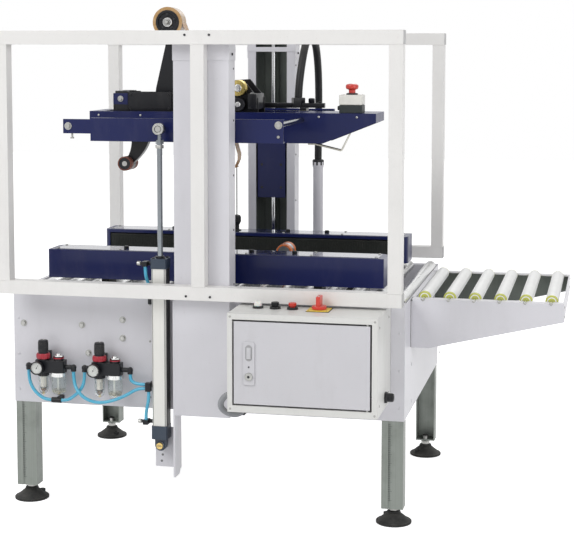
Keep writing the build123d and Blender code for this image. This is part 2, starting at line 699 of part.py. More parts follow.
def cylinder_barrel():
    """The lifting cylinder's square barrel, bored for its piston."""
    half = BARREL_SIDE / 2
    x = (CYLINDER_X - half, CYLINDER_X + half)
    y = (CYLINDER_Y - half, CYLINDER_Y + half)
    barrel = block(x, y, (BARREL_BOTTOM, BARREL_TOP))
    barrel = chamfer(barrel.edges().filter_by(Axis.Z), 4)
    return barrel - rod((CYLINDER_X, CYLINDER_Y, BARREL_BOTTOM - 1), (CYLINDER_X, CYLINDER_Y, BARREL_TOP + 1),
                        BARREL_BORE)


def cylinder_caps():
    """The cylinder's head with the rod's bore, and its foot with the clevis tongue."""
    half = CYLINDER_CAP_SIDE / 2
    x = (CYLINDER_X - half, CYLINDER_X + half)
    y = (CYLINDER_Y - half, CYLINDER_Y + half)
    top = block(x, y, (BARREL_TOP, CYLINDER_CAP_TOP))
    top = chamfer(top.edges().filter_by(Axis.Z), 3)
    top -= rod((CYLINDER_X, CYLINDER_Y, BARREL_TOP - 1), (CYLINDER_X, CYLINDER_Y, CYLINDER_CAP_TOP + 1),
               ROD_RADIUS + RUNNING_GAP)
    foot = block(x, y, (CYLINDER_CAP_BOTTOM, BARREL_BOTTOM))
    foot = chamfer(foot.edges().filter_by(Axis.Z), 3)
    thick = CLEVIS_THICK / 2
    tongue_y = (CYLINDER_Y - thick, CYLINDER_Y + thick)
    radius = CLEVIS_RADIUS
    foot += rod((CYLINDER_X, tongue_y[0], CLEVIS_Z), (CYLINDER_X, tongue_y[1], CLEVIS_Z), radius)
    foot += block((CYLINDER_X - radius, CYLINDER_X + radius), tongue_y, (CLEVIS_Z, CYLINDER_CAP_BOTTOM))
    foot -= rod((CYLINDER_X, tongue_y[0] - 1, CLEVIS_Z), (CYLINDER_X, tongue_y[1] + 1, CLEVIS_Z),
                CLEVIS_PIN_RADIUS + RUNNING_GAP)
    return [top, foot]


def cylinder_bracket():
    """The angle bar on the column's side, with the tab behind the clevis."""
    left = COLUMN_X - COLUMN_WIDTH / 2
    x = (left - BRACKET_SHEET, left)
    y = (-COLUMN_OUTER_Y, CYLINDER_Y + BARREL_SIDE / 2 + 2 + BRACKET_SHEET)
    outline_foot = 22
    side = block(x, y, (BRACKET_BOTTOM, BRACKET_TOP))
    corner = side.edges().filter_by(Axis.X).sort_by(Axis.Z)[:2].sort_by(Axis.Y)[-1]
    side = chamfer(corner, outline_foot)
    tab = block((TAB_LEFT, left), (y[1] - BRACKET_SHEET, y[1]), (TAB_BOTTOM, TAB_TOP))
    tab -= rod((CYLINDER_X, y[1] - BRACKET_SHEET - 1, CLEVIS_Z), (CYLINDER_X, y[1] + 1, CLEVIS_Z),
               CLEVIS_PIN_RADIUS + RUNNING_GAP)
    return side + tab


def clevis_pin():
    """The brass pin that hangs the cylinder's foot on the tab."""
    back = CYLINDER_Y + BARREL_SIDE / 2 + 2 + BRACKET_SHEET
    front = CYLINDER_Y - CLEVIS_THICK / 2
    pin = rod((CYLINDER_X, front, CLEVIS_Z), (CYLINDER_X, back, CLEVIS_Z), CLEVIS_PIN_RADIUS)
    return pin + rod((CYLINDER_X, front - 5, CLEVIS_Z), (CYLINDER_X, front, CLEVIS_Z), CLEVIS_PIN_HEAD)


def cylinder_rod():
    """The piston rod with its piston, lock nut and eye, and the stud from the eye to the arm."""
    x, y = CYLINDER_X, CYLINDER_Y
    shape = rod((x, y, PISTON_Z), (x, y, ROD_TOP), ROD_RADIUS)
    shape += rod((x, y, PISTON_Z - PISTON_LENGTH), (x, y, PISTON_Z), BARREL_BORE - RUNNING_GAP)
    shape += hex_bar((x, y, ROD_TOP - 12), ROD_NUT_ACROSS, 12)
    shape += rod((x, y, ROD_TOP), (x, y, ROD_EYE_Z), ROD_RADIUS - 2)
    half = ROD_EYE_THICK / 2
    shape += rod((x, y - half, ROD_EYE_Z), (x, y + half, ROD_EYE_Z), ROD_EYE_RADIUS)
    stud = rod((x, y - half - 8, ROD_EYE_Z), (x, -ARM_OUTER_Y, ROD_EYE_Z), ROD_EYE_BORE)
    return shape + stud


def estop_box():
    """The emergency stop's box on the head."""
    width, depth, height = ESTOP_SIZE
    x = (ESTOP_X - width / 2, ESTOP_X + width / 2)
    shape = block(x, (-HEAD_HALF_WIDTH + 4, -HEAD_HALF_WIDTH + 4 + depth), (HEAD_TOP, HEAD_TOP + height))
    shape = fillet(shape.edges().filter_by(Axis.Z), 5)
    centre = estop_centre()
    top = HEAD_TOP + height
    shape += rod((*centre, top), (*centre, top + 6), ESTOP_BUTTON_RADIUS - 3)
    return shape - rod((*centre, top - 22), (*centre, top + 7), ESTOP_BUTTON_RADIUS / 2 + RUNNING_GAP)


def estop_centre():
    """The X and Y of the emergency stop's button."""
    return (ESTOP_X, -HEAD_HALF_WIDTH + 4 + ESTOP_SIZE[1] / 2)


def estop_button():
    """The red mushroom button and its stem."""
    centre = estop_centre()
    top = HEAD_TOP + ESTOP_SIZE[2] + 6
    low = top + ESTOP_TRAVEL_GAP
    shape = rod((*centre, top - 16), (*centre, low), ESTOP_BUTTON_RADIUS / 2)
    cone = Pos(*centre, low) * Cone(ESTOP_BUTTON_RADIUS - 6, ESTOP_BUTTON_RADIUS, 16,
                                    align=(Align.CENTER, Align.CENTER, Align.MIN))
    rim = rod((*centre, low + 16), (*centre, low + 22), ESTOP_BUTTON_RADIUS)
    rim = chamfer(rim.edges().filter_by(GeomType.CIRCLE).sort_by(Axis.Z)[-1], 2)
    return shape + cone + rim


def tape_head():
    """The tape cartridge: two cheeks with the guide rollers and spacers between them."""
    outline = [
        (TAPE_HEAD_LEFT, TAPE_HEAD_TOP - 20), (TAPE_HEAD_LEFT + 26, TAPE_HEAD_TOP), (-60, TAPE_HEAD_TOP),
        (-34, GUIDE_ROLLER[1] + 22), (30, GUIDE_ROLLER[1] + 26), (TAPE_HEAD_RIGHT, GUIDE_ROLLER[1] - 32),
        (TAPE_HEAD_RIGHT, TAPE_HEAD_BOTTOM), (TAPE_HEAD_LEFT, TAPE_HEAD_BOTTOM),
    ]
    cheek = plate_xz(outline, -CHEEK_OUTER, -CHEEK_OUTER + CHEEK_SHEET)
    solids = cheek + mirrored(cheek, Plane.XZ)
    inner = CHEEK_OUTER - CHEEK_SHEET
    low = TAPE_HEAD_BOTTOM + 14
    bars = [(*GUIDE_ROLLER, 17), (*KNURL_ROLLER, 18), (60, TAPE_HEAD_TOP - 6, 6), (60, low, 6),
            (TAPE_HEAD_LEFT + 12, low, 6), (*ARM_PIVOT, PIVOT_RADIUS)]
    for x, z, radius in bars:
        solids += rod((x, -inner - 1, z), (x, inner + 1, z), radius)
    for x in (TAPE_HEAD_LEFT + 30, 50):
        seat = rod((x, CHEEK_OUTER, low + 2), (x, HEAD_HALF_WIDTH - HEAD_SHEET, low + 2), 8)
        solids += seat + mirrored(seat, Plane.XZ)
    return solids


def tape_holder():
    """The tall tapered arm inside the rear cheek, with the spindle of the tape roll."""
    high = CHEEK_OUTER - CHEEK_SHEET
    low = high - 8
    foot_x, foot_z = HOLDER_FOOT
    top_x, top_z = TAPE_ROLL_CENTRE
    outline = [
        (foot_x - 30, foot_z), (foot_x + 34, foot_z), (top_x + 22, top_z - 60), (top_x + 12, top_z),
        (top_x - 10, top_z), (top_x - 22, top_z - 60), (foot_x - 22, foot_z + 60),
    ]
    arm = plate_xz(outline, low, high)
    arm += rod((top_x, low, top_z), (top_x, high, top_z), 16)
    return arm + rod((top_x, -TAPE_HALF_WIDTH - 6, top_z), (top_x, low, top_z), SPINDLE_RADIUS)


def tape_roll():
    """The roll of tape on its hub."""
    x, z = TAPE_ROLL_CENTRE
    half = TAPE_HALF_WIDTH
    tape = ring((x, -half, z), (x, half, z), TAPE_ROLL_RADIUS, TAPE_CORE_RADIUS)
    hub = ring((x, -half + 4, z), (x, half - 4, z), TAPE_CORE_RADIUS, TAPE_CORE_RADIUS - 5)
    web = ring((x, -6, z), (x, 6, z), TAPE_CORE_RADIUS - 4, SPINDLE_RADIUS + RUNNING_GAP)
    boss = ring((x, -half, z), (x, half, z), 15, SPINDLE_RADIUS + RUNNING_GAP)
    return tape + hub + web + boss


def tape_arm():
    """The curved wiping arm with its roller, hung on the pivot between the cheeks."""
    px, pz = ARM_PIVOT
    rx, rz = ARM_ROLLER
    half = ARM_THICK / 2
    line = Spline((px, half, pz), (px + 52, half, pz - 78), (px + 48, half, pz - 150), (rx, half, rz))
    widths = (15, 24, 32, 30, 20, 12)
    left, right = [], []
    for t, width in zip((0, 0.2, 0.4, 0.6, 0.8, 1), widths):
        point = line @ t
        tangent = line % t
        normal = Vector(-tangent.Z, 0, tangent.X)
        left.append(point + normal * width)
        right.append(point - normal * width)
    outline = Spline(*left) + Polyline(left[-1], right[-1])
    outline += Spline(*right[::-1]) + Polyline(right[0], left[0])
    arm = extrude(make_face(outline), ARM_THICK, dir=(0, -1, 0))
    arm += rod((px, -half - 6, pz), (px, half + 6, pz), 15)
    arm += rod((rx, -ARM_ROLLER_HALF, rz), (rx, ARM_ROLLER_HALF, rz), ARM_ROLLER_RADIUS)
    return arm - rod((px, -half - 7, pz), (px, half + 7, pz), PIVOT_RADIUS + RUNNING_GAP)


def belt_housing():
    """The front belt's housing: a tray over the belt, open below, with a window on its inner side."""
    x = (BELT_LEFT, BELT_RIGHT)
    y = (-BELT_OUTER_Y, -BELT_INNER_Y)
    wall = BELT_WALL
    shape = block(x, y, (BELT_BOTTOM, BELT_TOP))
    corners = shape.edges().filter_by(Axis.Z).sort_by(Axis.Y)[2:]
    shape = fillet(corners, BELT_NOSE)
    inside_z = (BELT_BOTTOM - 1, BELT_TOP - wall)
    inside = block((x[0] + wall, x[1] - wall), (y[0] + wall, y[1] - wall), inside_z)
    inner_corners = inside.edges().filter_by(Axis.Z).sort_by(Axis.Y)[2:]
    shape -= fillet(inner_corners, BELT_NOSE - wall)
    window = (x[0] + WINDOW_END_LEFT, x[1] - WINDOW_END_RIGHT)
    return shape - block(window, (y[1] - BELT_NOSE, y[1] + 1), (BELT_BOTTOM - 1, BELT_HIGH + 4))


def belt_ends():
    """The X of the two pulleys that the belt runs round."""
    turn = PULLEY_RADIUS + BELT_THICK
    return (BELT_LEFT + BELT_WALL + 2 + turn, BELT_RIGHT - WINDOW_END_RIGHT + 4 - turn)


def belt_loop():
    """The front drive belt, a flat loop on edge round its two pulleys."""
    left, right = belt_ends()
    centre_y = -BELT_FACE_Y - BELT_THICK - PULLEY_RADIUS
    outer = SlotCenterToCenter(right - left, 2 * (PULLEY_RADIUS + BELT_THICK))
    inner = SlotCenterToCenter(right - left, 2 * PULLEY_RADIUS)
    return Pos((left + right) / 2, centre_y, BELT_LOW) * extrude(outer - inner, BELT_HIGH - BELT_LOW)


def belt_carriage():
    """The front belt's pulleys, backing bar, posts and slide blocks."""
    left, right = belt_ends()
    centre_y = -BELT_FACE_Y - BELT_THICK - PULLEY_RADIUS
    shape = block((left, right), (centre_y - 24, centre_y + 24), (BELT_LOW, BELT_TOP - BELT_WALL))
    for x in (left, right):
        shape += rod((x, centre_y, BELT_LOW), (x, centre_y, BELT_HIGH), PULLEY_RADIUS)
        shape += rod((x, centre_y, BELT_HIGH), (x, centre_y, BELT_TOP - BELT_WALL), AXLE_RADIUS + 3)
    width, depth = SLIDE_POST
    block_x, block_y, block_z = SLIDE_BLOCK
    for x in SLIDE_ROD_X:
        shape += block((x - width / 2, x + width / 2), (centre_y - depth / 2, centre_y + depth / 2),
                       (SLIDE_ROD_Z, BELT_LOW))
        shape += block((x - block_x / 2, x + block_x / 2), (centre_y - block_y / 2, centre_y + block_y / 2),
                       (SLIDE_ROD_Z - block_z / 2, SLIDE_ROD_Z + block_z / 2))
        shape -= rod((x, centre_y - depth, SLIDE_ROD_Z), (x, centre_y + depth, SLIDE_ROD_Z),
                     SLIDE_ROD_RADIUS + RUNNING_GAP)
    return shape


def slide_rods():
    """The two cross rods below the rollers that both belt carriages slide on."""
    lip = BODY_HALF_WIDTH - PANEL_FLANGE + SHEET
    return [rod((x, -lip, SLIDE_ROD_Z), (x, lip, SLIDE_ROD_Z), SLIDE_ROD_RADIUS) for x in SLIDE_ROD_X]


def lock_knob():
    """The knob on the rear housing that locks its width, with the thin feeler that stands on it."""
    y = (BELT_INNER_Y + BELT_OUTER_Y) / 2
    knob_top = (LOCK_KNOB_X, y, BELT_TOP + LOCK_KNOB_HEIGHT)
    shape = rod((LOCK_KNOB_X, y, BELT_TOP), knob_top, LOCK_KNOB_RADIUS)
    return shape + rod(knob_top, (LOCK_KNOB_X, y, WHISKER_TOP), WHISKER_RADIUS)


def lower_tape_head():
    """The tape cartridge below the bed, on two cross bars between the panel lips."""
    reach = WELL_HALF_LENGTH
    cheek = plate_xz([(-reach, WELL_TOP), (reach, WELL_TOP), (reach, WELL_BOTTOM + 30),
                      (reach - 40, WELL_BOTTOM), (-reach + 40, WELL_BOTTOM), (-reach, WELL_BOTTOM + 30)],
                     -CHEEK_OUTER, -CHEEK_OUTER + CHEEK_SHEET)
    shape = cheek + mirrored(cheek, Plane.XZ)
    lip = BODY_HALF_WIDTH - PANEL_FLANGE
    for x in (-WELL_BAR_X, WELL_BAR_X):
        shape += block((x - 8, x + 8), (-lip, lip), (WELL_BOTTOM + 24, WELL_BOTTOM + 48))
    inner = CHEEK_OUTER - CHEEK_SHEET
    for x, z, radius in ((*LOWER_PIVOT, PIVOT_RADIUS), (-40, WELL_BOTTOM + 50, 18),
                         (-120, WELL_TOP - 24, 14)):
        shape += rod((x, -inner - 1, z), (x, inner + 1, z), radius)
    return shape


def lower_tape_arm():
    """The lower head's buffing arm with its orange roller."""
    px, pz = LOWER_PIVOT
    rx, rz = LOWER_ROLLER
    half = ARM_THICK / 2
    along = Vector(rx - px, 0, rz - pz).normalized()
    side = Vector(-along.Z, 0, along.X)
    foot, tip = Vector(px, 0, pz), Vector(rx, 0, rz)
    corners = [foot + side * 14, tip + side * 12, tip - side * 12, foot - side * 14]
    arm = plate_xz([(p.X, p.Z) for p in corners], -half, half)
    arm += rod((px, -half, pz), (px, half, pz), 14)
    arm += rod((rx, -LOWER_ROLLER_HALF, rz), (rx, LOWER_ROLLER_HALF, rz), LOWER_ROLLER_RADIUS)
    return arm - rod((px, -half - 1, pz), (px, half + 1, pz), PIVOT_RADIUS + RUNNING_GAP)


def cabinet():
    """The electrical cabinet: a sheet box with a deep frame round its door."""
    wall = CABINET_SHEET
    back = -BODY_HALF_WIDTH
    shape = block(CABINET_X, (CABINET_FRONT_Y, back), CABINET_Z)
    shape -= block((CABINET_X[0] + wall, CABINET_X[1] - wall), (CABINET_FRONT_Y + wall, back - wall),
                   (CABINET_Z[0] + wall, CABINET_Z[1] - wall))
    gap = DOOR_GAP
    frame_x = (DOOR_X[0] - gap, DOOR_X[1] + gap)
    frame_z = (DOOR_Z[0] - gap, DOOR_Z[1] + gap)
    lip_y = (CABINET_FRONT_Y, CABINET_FRONT_Y + DOOR_FRAME_DEPTH)
    lip = block((frame_x[0] - wall, frame_x[1] + wall), lip_y, (frame_z[0] - wall, frame_z[1] + wall))
    shape += lip
    shape -= block(frame_x, (CABINET_FRONT_Y - 1, CABINET_FRONT_Y + DOOR_FRAME_DEPTH + 1), frame_z)
    for z in (frame_z[0] - wall, frame_z[1]):
        ends = [(HINGE_X, HINGE_Y, z - 1), (HINGE_X, HINGE_Y, z + wall + 1)]
        shape -= rod(*ends, HINGE_PIN_RADIUS + RUNNING_GAP)
    return shape


def cabinet_door():
    """The cabinet's door: a sheet with returned edges, hinge pins and a flush lock."""
    front = CABINET_FRONT_Y
    sheet = block(DOOR_X, (front, front + DOOR_RETURN), DOOR_Z)
    inner = DOOR_SHEET
    sheet -= block((DOOR_X[0] + inner, DOOR_X[1] - inner), (front + inner, front + DOOR_RETURN + 1),
                   (DOOR_Z[0] + inner, DOOR_Z[1] - inner))
    reach = DOOR_GAP + DOOR_SHEET
    for low, high in ((DOOR_Z[0] - reach, DOOR_Z[0] + 16), (DOOR_Z[1] - 16, DOOR_Z[1] + reach)):
        sheet += rod((HINGE_X, HINGE_Y, low), (HINGE_X, HINGE_Y, high), HINGE_PIN_RADIUS)
    lock = block(LOCK_X, (front - LOCK_PROUD, front + inner), LOCK_Z)
    lock = fillet(lock.edges().filter_by(Axis.Y), 6)
    body = block((LOCK_X[0] + 5, LOCK_X[1] - 5), (front, front + 30), (LOCK_Z[0] + 8, LOCK_Z[1] - 60))
    return sheet + lock + body


def button_collars():
    """The round collars of the three buttons on the cabinet's top."""
    top = CABINET_Z[1]
    collars = []
    for x in BUTTON_X:
        collar = rod((x, BUTTON_Y, top), (x, BUTTON_Y, top + COLLAR_HEIGHT), COLLAR_RADIUS)
        collars.append(collar)
    return collars


def drilled_cabinet():
    """The cabinet with the holes for its buttons, the isolator and the gland."""
    shape = cabinet()
    top = CABINET_Z[1]
    right = CABINET_X[1]
    shape -= rod((SWITCH_X, BUTTON_Y, top - 10), (SWITCH_X, BUTTON_Y, top + 1), SWITCH_SPINDLE_RADIUS + 4)
    for x in BUTTON_X[1:]:
        shape -= rod((x, BUTTON_Y, top - 10), (x, BUTTON_Y, top + 1), COLLAR_RADIUS - 4)
    return shape - rod((right - 10, GLAND_Y, GLAND_Z), (right + 1, GLAND_Y, GLAND_Z), GLAND_RADIUS - 3)


def push_button(x):
    """A push button's cap, on a plunger that slides in its collar."""
    top = CABINET_Z[1] + COLLAR_HEIGHT
    cap = rod((x, BUTTON_Y, top + BUTTON_TRAVEL_GAP), (x, BUTTON_Y, top + BUTTON_TOP), BUTTON_RADIUS)
    return cap + rod((x, BUTTON_Y, top - 4), (x, BUTTON_Y, top + BUTTON_TRAVEL_GAP), BUTTON_RADIUS / 2)


def lamp():
    """The white pilot lamp on the first collar."""
    top = CABINET_Z[1] + COLLAR_HEIGHT
    lens = rod((BUTTON_X[0], BUTTON_Y, top), (BUTTON_X[0], BUTTON_Y, top + BUTTON_TOP), BUTTON_RADIUS)
    return fillet(lens.edges().filter_by(GeomType.CIRCLE).sort_by(Axis.Z)[-1], 4)


def switch_plate():
    """The isolator's square plate, bored for its spindle."""
    top = CABINET_Z[1]
    half = SWITCH_PLATE / 2
    across = (SWITCH_X - half, SWITCH_X + half)
    plate = block(across, (BUTTON_Y - half, BUTTON_Y + half), (top, top + SWITCH_PLATE_THICK))
    ends = [(SWITCH_X, BUTTON_Y, top - 1), (SWITCH_X, BUTTON_Y, top + 5)]
    return plate - rod(*ends, SWITCH_SPINDLE_RADIUS + RUNNING_GAP)


def switch_knob():
    """The isolator's round knob with its upright grip."""
    low = CABINET_Z[1] + SWITCH_PLATE_THICK + 1
    disc = rod((SWITCH_X, BUTTON_Y, low), (SWITCH_X, BUTTON_Y, low + 10), 21)
    grip = block((SWITCH_X - 7, SWITCH_X + 7), (BUTTON_Y - 20, BUTTON_Y + 20), (low + 10, low + 38))
    grip = fillet(grip.edges().filter_by(Axis.X).sort_by(Axis.Z)[-2:], 6)
    foot = (SWITCH_X, BUTTON_Y, CABINET_Z[1] - 6)
    return disc + grip + rod(foot, (SWITCH_X, BUTTON_Y, low), SWITCH_SPINDLE_RADIUS)


def cable_gland():
    """The black gland on the cabinet's right side."""
    right = CABINET_X[1]
    face = (right + 8, GLAND_Y, GLAND_Z)
    nut = rod((right, GLAND_Y, GLAND_Z), face, GLAND_RADIUS + 2)
    return nut + rod(face, (right + GLAND_LENGTH, GLAND_Y, GLAND_Z), GLAND_RADIUS - 1)


def air_set_places():
    """The X of each set's filter and lubricator."""
    return [(x, x + AIR_SET_STEP) for x in AIR_SET_X]


def regulator_bodies():
    """The two sets' bodies with their ports and the brackets that hold them to the skirt."""
    bodies = []
    y = AIR_BODY_Y
    for x, x_lube in air_set_places():
        body = block((x - 21, x_lube + 21), (y - 18, y + 18), AIR_BODY_Z)
        body = fillet(body.edges().filter_by(Axis.Z), 6)
        body += rod((x_lube, y, AIR_BODY_Z[1]), (x_lube, y, AIR_BODY_Z[1] + 12), 15)
        body += rod((x, y - 18, GAUGE_Z), (x, GAUGE_FRONT_Y + 14, GAUGE_Z), 7)
        body += block((x - 10, x + 10), (y + 18, -BODY_HALF_WIDTH), (AIR_BODY_Z[0] + 8, AIR_BODY_Z[1] + 20))
        bodies.append(body)
    return bodies


def regulator_knobs():
    """The regulators' black knobs on their red lock rings."""
    knobs = []
    for x, _ in air_set_places():
        low = AIR_BODY_Z[1]
        knob = rod((x, AIR_BODY_Y, low), (x, AIR_BODY_Y, low + 22), 20)
        knob += rod((x, AIR_BODY_Y, low + 22), (x, AIR_BODY_Y, low + 60), 15)
        knobs.append(knob - block((x - 11, x + 11), (AIR_BODY_Y + 18, AIR_BODY_Y + 22), (low - 1, low + 21)))
    return knobs


def pressure_gauges():
    """The round gauges in front of the regulators."""
    gauges = []
    for x, _ in air_set_places():
        centre = x + GAUGE_SHIFT
        case = rod((centre, GAUGE_FRONT_Y + 14, GAUGE_Z), (centre, GAUGE_FRONT_Y, GAUGE_Z), GAUGE_RADIUS)
        gauges.append(case)
    return gauges


def bowls():
    """The filter and lubricator bowls under the bodies."""
    shapes = []
    low = AIR_BODY_Z[0]
    for x, x_lube in air_set_places():
        for centre, radius in ((x, FILTER_BOWL_RADIUS), (x_lube, LUBE_BOWL_RADIUS)):
            bowl = rod((centre, AIR_BODY_Y, BOWL_BOTTOM), (centre, AIR_BODY_Y, low), radius)
            bowl = fillet(bowl.edges().filter_by(GeomType.CIRCLE).sort_by(Axis.Z)[0], radius * 0.6)
            shapes.append(bowl)
    return shapes


def tube_along(points, radius):
    """A hose through points: straight runs with the largest tangent arcs that they leave room for."""
    points = [Vector(*p) for p in points]
    bends = []
    for before, at, after in zip(points, points[1:], points[2:]):
        turn = (at - before).get_angle(after - at)
        run = min((at - before).length, (after - at).length)
        bends.append(0.45 * run / math.tan(math.radians(turn) / 2))
    print("bend radii", [round(bend) for bend in bends])
    path = FilletPolyline(*points, radius=bends)
    section = Plane(origin=path @ 0, z_dir=path % 0) * Circle(radius)
    return sweep(section, path=path)


def standpipe():
    """The upright pipe behind the rear skirt, with its collar and its two saddles."""
    shape = ring((PIPE_X, PIPE_Y, PIPE_BOTTOM), (PIPE_X, PIPE_Y, PIPE_TOP), PIPE_RADIUS, CONDUIT_RADIUS + 1)
    collar = [(PIPE_X, PIPE_Y, PIPE_TOP - 26), (PIPE_X, PIPE_Y, PIPE_TOP - 8)]
    shape += ring(*collar, PIPE_RADIUS + 2, PIPE_RADIUS - 1)
    for z in (PIPE_BOTTOM + 20, SKIRT_TOP - 40):
        saddle = block((PIPE_X - 26, PIPE_X + 26), (BODY_HALF_WIDTH, PIPE_Y), (z - 12, z + 12))
        shape += saddle - rod((PIPE_X, PIPE_Y, z - 13), (PIPE_X, PIPE_Y, z + 13), PIPE_RADIUS - 1)
    return shape


def elbow(x_body, x_hose):
    """A push-in elbow from a body's side to the top of a hose."""
    y, z = AIR_BODY_Y, GAUGE_Z
    shape = rod((x_body, y, z), (x_hose, y, z), 7)
    shape += Pos(x_hose, y, z) * Sphere(9)
    return shape + rod((x_hose, y, z), (x_hose, y, z - ELBOW_DROP), 8)


def hose_fittings():
    """The elbows on the sets, the Y connector, the manifold beside the cylinder and the skirt's elbow."""
    fittings = []
    for x, x_lube in air_set_places():
        fittings.append(elbow(x - 21, x - 21 - ELBOW_REACH))
        fittings.append(elbow(x_lube + 21, x_lube + 21 + ELBOW_REACH))
    x, y, z = TEE_CENTRE
    tee = rod((HOSE_LEFT[-1][0], y, z + 1), (HOSE_BRIDGE[0][0], y, z + 1), 8)
    tee += block((x - 6, x + 6), (y, -BODY_HALF_WIDTH), (z - 4, z + 6))
    fittings.append(tee)
    y = HOSE_LOWER[-1][1]
    manifold = block(MANIFOLD_X, (y - 8, y + 8), MANIFOLD_Z)
    stub_x = (MANIFOLD_X[0] + 2, MANIFOLD_X[1] - 2)
    fittings.append(manifold + block(stub_x, (y + 8, -BODY_HALF_WIDTH), MANIFOLD_STUB_Z))
    x, y, z = HOSE_TOP[-1]
    bulkhead = block((x - 7, x + 7), (y - 7, -BODY_HALF_WIDTH), (z - 16, z))
    fittings.append(bulkhead)
    x, y, z = CABINET_HOSE_ROUTE[-1]
    fittings.append(rod((x, y, z), (x, -BODY_HALF_WIDTH, z), CABINET_HOSE_RADIUS + 4))
    return fittings


def flow_controls():
    """The two speed controllers on the cylinder's left side, with their silver needles."""
    controls = []
    side = CYLINDER_X - CYLINDER_CAP_SIDE / 2
    for z, up in zip(FLOW_Z, (1, -1)):
        y = HOSE_DOWN[-1][1]
        valve = rod((side, CYLINDER_Y, z), (side - 14, CYLINDER_Y, z), 6)
        valve += block((side - 27, side - 12), (y - 8, CYLINDER_Y + 6), (z - 7, z + 7))
        valve += rod((side - 27, CYLINDER_Y - 6, z), (side - 46, CYLINDER_Y - 6, z), 5)
        controls.append(valve)
    return controls


def build():
    """Write every node."""
    os.makedirs("parts", exist_ok=True)
    back = Plane.XZ
    front = front_panel()
    save("front_panel", front)
    save("rear_panel", mirrored(front, back))
    save("end_panels", end_panel(-1), end_panel(1))
    corners = [(x, y) for x in (-1, 1) for y in (-1, 1)]
    save("legs", *[leg(x, y) for x, y in corners])
    save("levelling_feet", *[levelling_foot(x, y) for x, y in corners])
    save("bed_rollers", *bed_rollers())
    save("guard_posts", *guard_posts(-1), *guard_posts(1))
    save("guard_rails", *guard_rails(-1), *guard_rails(1))
    save("front_column", column())
    save("rear_column", mirrored(column(), back))
    save("column_caps", column_cap(), mirrored(column_cap(), back))
    save("guide_shafts", guide_shaft(), mirrored(guide_shaft(), back), *slide_rods())
    save("exit_side_plates", exit_side_plate(), mirrored(exit_side_plate(), back))
    save("exit_end_plate", exit_end_plate())
    save("roller_axles", *roller_axles())
    for number, x in enumerate(exit_roller_places(), 1):
        save(f"exit_roller_{number}", roller(x, -EXIT_ROLLER_HALF, EXIT_ROLLER_HALF, END_CAP_LENGTH))
    reach = BODY_HALF_WIDTH - PANEL_FLANGE - BED_ROLLER_END_GAP
    save("last_bed_roller", roller(BED_ROLLER_X, -reach, reach, 0))
    save("cylinder_barrel", cylinder_barrel())
    save("cylinder_caps", *cylinder_caps())
    save("cylinder_bracket", cylinder_bracket(), clevis_pin())
    save("cylinder_rod", cylinder_rod())
    save("carriages", carriage(), mirrored(carriage(), back))
    save("head_arms", head_arm(), mirrored(head_arm(), back))
    save("cross_rods", *cross_rods())
    save("head_beam", head_beam())
    save("head_brackets", skid(), hose_bar())
    save("tape_head", tape_head())
    save("tape_holder", tape_holder())
    save("tape_roll", tape_roll())
    save("tape_arm", tape_arm())
    save("estop_box", estop_box())
    save("estop_button", estop_button())
    save("front_belt_housing", belt_housing())
    save("rear_belt_housing", mirrored(belt_housing(), back))
    save("front_belt", belt_loop())
    save("rear_belt", mirrored(belt_loop(), back))
    save("front_belt_carriage", belt_carriage())
    save("rear_belt_carriage", mirrored(belt_carriage(), back))
    save("lock_knob", lock_knob())
    save("lower_tape_head", lower_tape_head())
    save("lower_tape_arm", lower_tape_arm())
    save("cabinet", drilled_cabinet())
    save("cabinet_door", cabinet_door())
    bore = BUTTON_RADIUS / 2 + RUNNING_GAP
    top = CABINET_Z[1]
    collars = [button_collars()[0] + lamp()]
    for x, collar in zip(BUTTON_X[1:], button_collars()[1:]):
        collars.append(collar - rod((x, BUTTON_Y, top - 1), (x, BUTTON_Y, top + COLLAR_HEIGHT + 1), bore))
    save("cabinet_fittings", *collars, switch_plate(), cable_gland())
    save("black_button", push_button(BUTTON_X[1]))
    save("red_button", push_button(BUTTON_X[2]))
    save("switch_knob", switch_knob())
    save("regulator_bodies", *regulator_bodies())
    save("regulator_knobs", *regulator_knobs())
    save("pressure_gauges", *pressure_gauges())
    save("air_bowls", *bowls())
    save("hose_fittings", *hose_fittings(), *flow_controls())
    routes = (HOSE_LEFT, HOSE_BRIDGE, HOSE_LOWER, HOSE_RIGHT, HOSE_DOWN, HOSE_TOP)
    hoses = [tube_along(route, HOSE_RADIUS) for route in routes]
    save("air_hoses", *hoses, tube_along(CABINET_HOSE_ROUTE, CABINET_HOSE_RADIUS))
    save("standpipe", standpipe())
    save("head_conduit", tube_along(CONDUIT_ROUTE, CONDUIT_RADIUS))


build()
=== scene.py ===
import math

import bmesh
import bpy
from mathutils import Matrix, Vector


